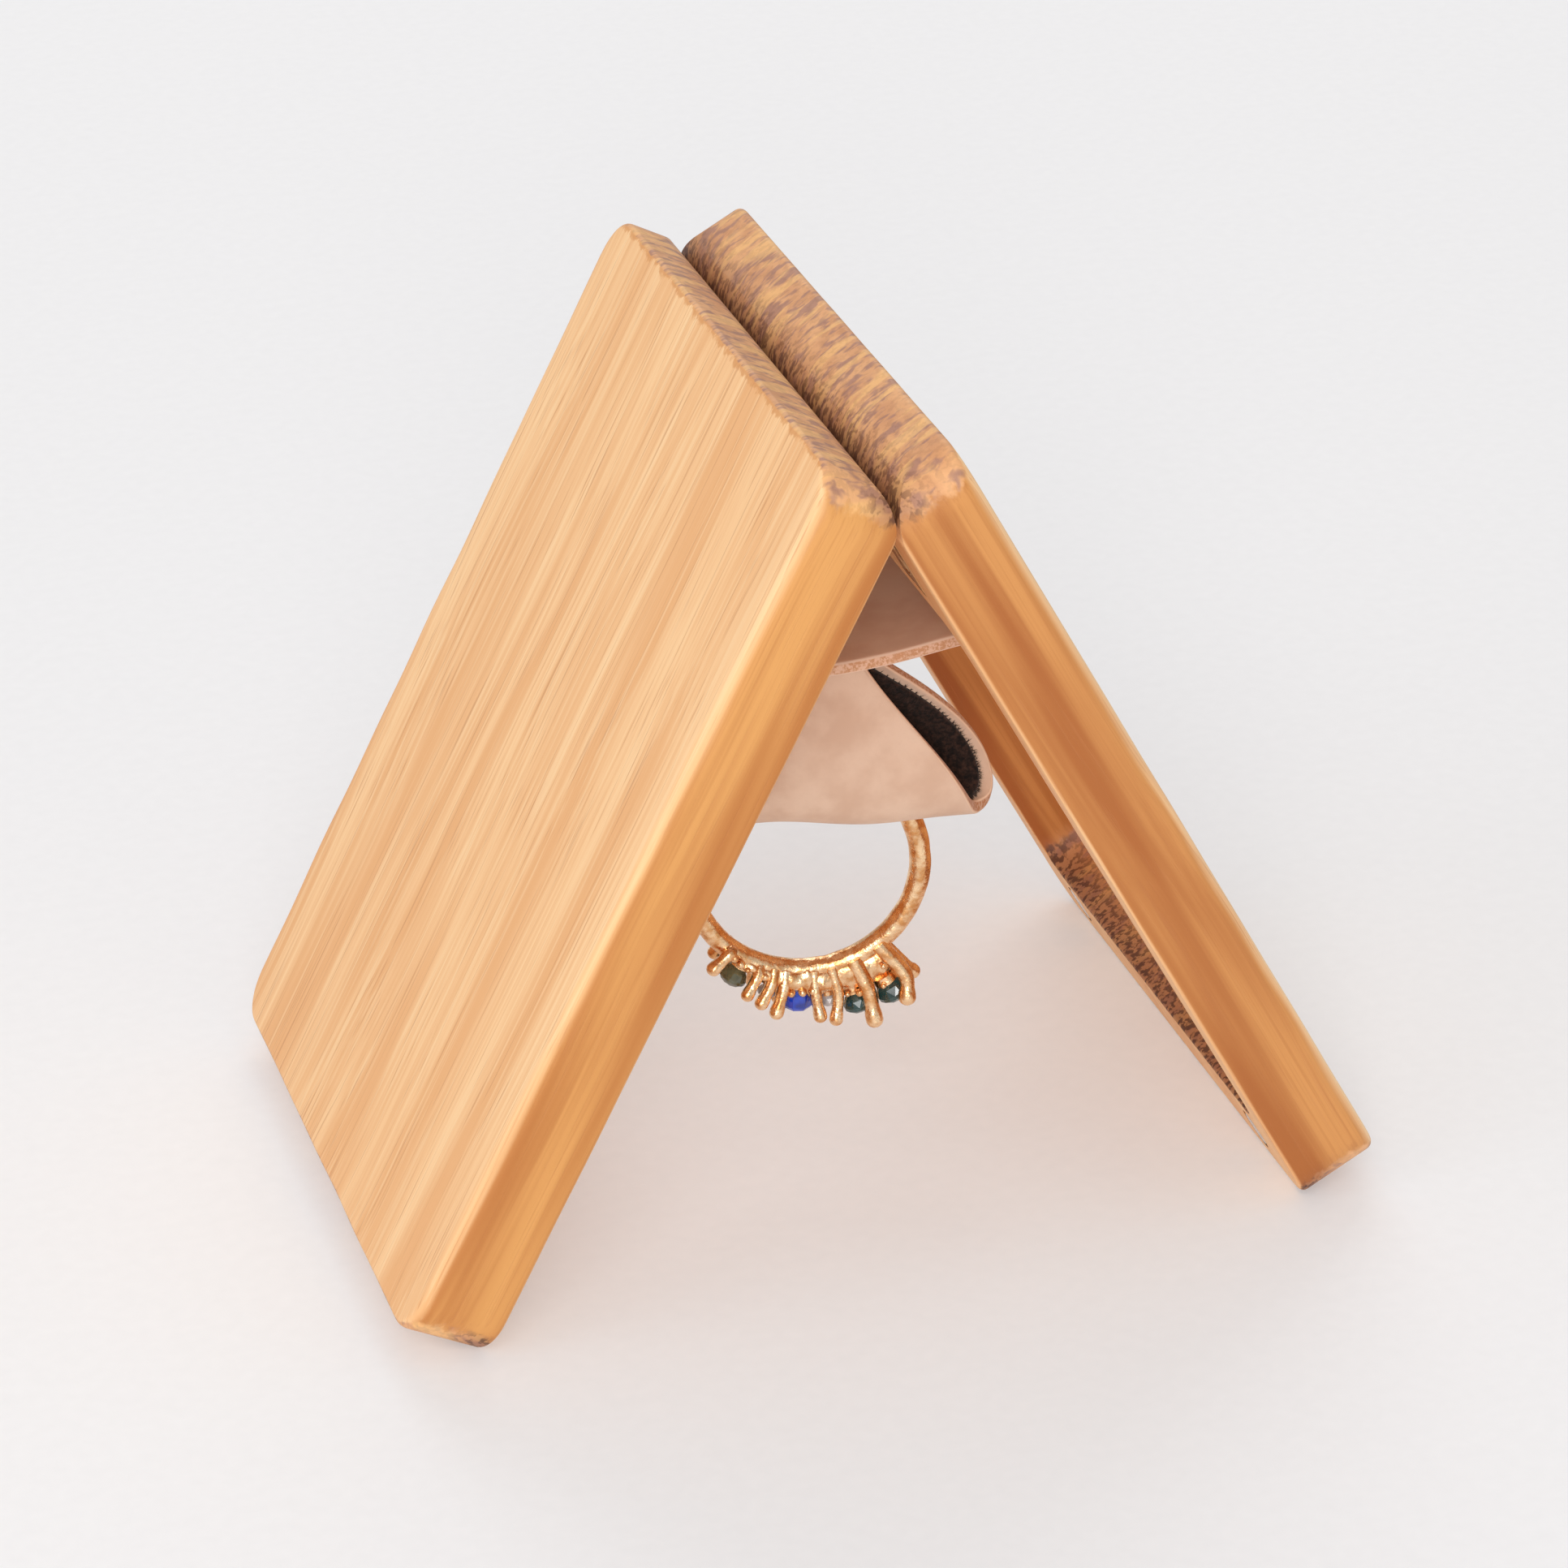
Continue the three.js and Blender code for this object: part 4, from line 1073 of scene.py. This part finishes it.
def fine_copy(node_name, material):
    """A node's mesh, merged and bevelled, on the body of its node."""
    shell = bmesh.new()
    shell.from_mesh(frame["nodes"][node_name].data)
    bmesh.ops.remove_doubles(shell, verts=shell.verts, dist=0.002 * MM)
    bmesh.ops.dissolve_limit(shell, angle_limit=math.radians(2), verts=shell.verts, edges=shell.edges)
    mesh = bpy.data.meshes.new(f"fine_{node_name}")
    shell.to_mesh(mesh)
    shell.free()
    mesh.materials.append(material)
    made = linked(f"fine_{node_name}", mesh)
    edge = made.modifiers.new("small_bevel", "BEVEL")
    edge.width, edge.segments, edge.limit_method, edge.angle_limit = METAL_BEVEL, 2, "ANGLE", math.radians(35)
    edge.use_clamp_overlap = True
    shade(mesh, 32)
    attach(made, frame["nodes"][node_name]["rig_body"])
    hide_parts(node_name)
    return made


small_parts = [name for name in frame["nodes"] if name.startswith("hinge_") or "magnet" in name]
for name in small_parts:
    metal, slot = (nickel, "nickel") if "magnet" in name else (brass, "brass")
    fine_copy(name, metal)
print("fine metal parts:", len(small_parts))

# %% [markdown]
# ## Floor and light
# A pale sheet of paper lies under the box. The light is that of a bright white room: an even sky and four
# soft lamps. The window and the front fill stand on the near left and reach under the ridge, a weak one on
# the left lifts the broad face, and one behind keeps the far floor bright.

# %% Floor
def paper_material():
    material, tree, shader = new_material("pale_paper")
    local = on_object(tree)
    fibre = noise(tree, stretched(tree, local, (700, 700, 700)), detail=3)
    set_inputs(shader, {"Base Color": mixed(tree, fibre, colour(211, 210, 211), colour(217, 216, 217))},
               Roughness=0.8, Specular_IOR_Level=0.2, Emission_Color=(0.98, 0.975, 0.98, 1.0),
               Emission_Strength=0.24)
    return material


FLOOR_SIZE = 6.0
floor_mesh = bpy.data.meshes.new("floor")
half = FLOOR_SIZE / 2
corners = [(-half, -half, 0), (half, -half, 0), (half, half, 0), (-half, half, 0)]
floor_mesh.from_pydata(corners, [], [(0, 1, 2, 3)])
floor_mesh.materials.append(paper_material())
floor = linked("floor", floor_mesh)

# %% Lights
SKY_STRENGTH = 0.52
scene.view_settings.view_transform = "Standard"
world = bpy.data.worlds.new("bright_room")
scene.world = world
world.use_nodes = True
sky = world.node_tree.nodes["Background"]
sky.inputs["Color"].default_value = (1.0, 1.0, 1.0, 1.0)
sky.inputs["Strength"].default_value = SKY_STRENGTH


def soft_lamp(name, place, aim, size, power, tint):
    """A square area lamp at a place, turned to look at the aim."""
    lamp = bpy.data.lights.new(name, "AREA")
    lamp.shape, lamp.size, lamp.energy, lamp.color = "SQUARE", size, power, tint
    made = linked(name, lamp)
    made.location = place
    made.rotation_euler = (Vector(aim) - Vector(place)).to_track_quat("-Z", "Y").to_euler()


centre = (0, 0, 0.03)
soft_lamp("window", (-0.35, -0.75, 0.65), centre, 0.45, 2.5, (1.0, 0.985, 0.965))
soft_lamp("front_fill", (-0.3, -0.98, 0.36), centre, 0.35, 3.6, (1.0, 0.99, 0.98))
soft_lamp("left_fill", (-0.8, -0.2, 0.5), centre, 0.6, 1.2, (1.0, 0.99, 0.98))
soft_lamp("back_wall", (0.3, 1.1, 0.8), (0.2, 1.0, 0), 1.0, 6.0, (1.0, 1.0, 1.0))
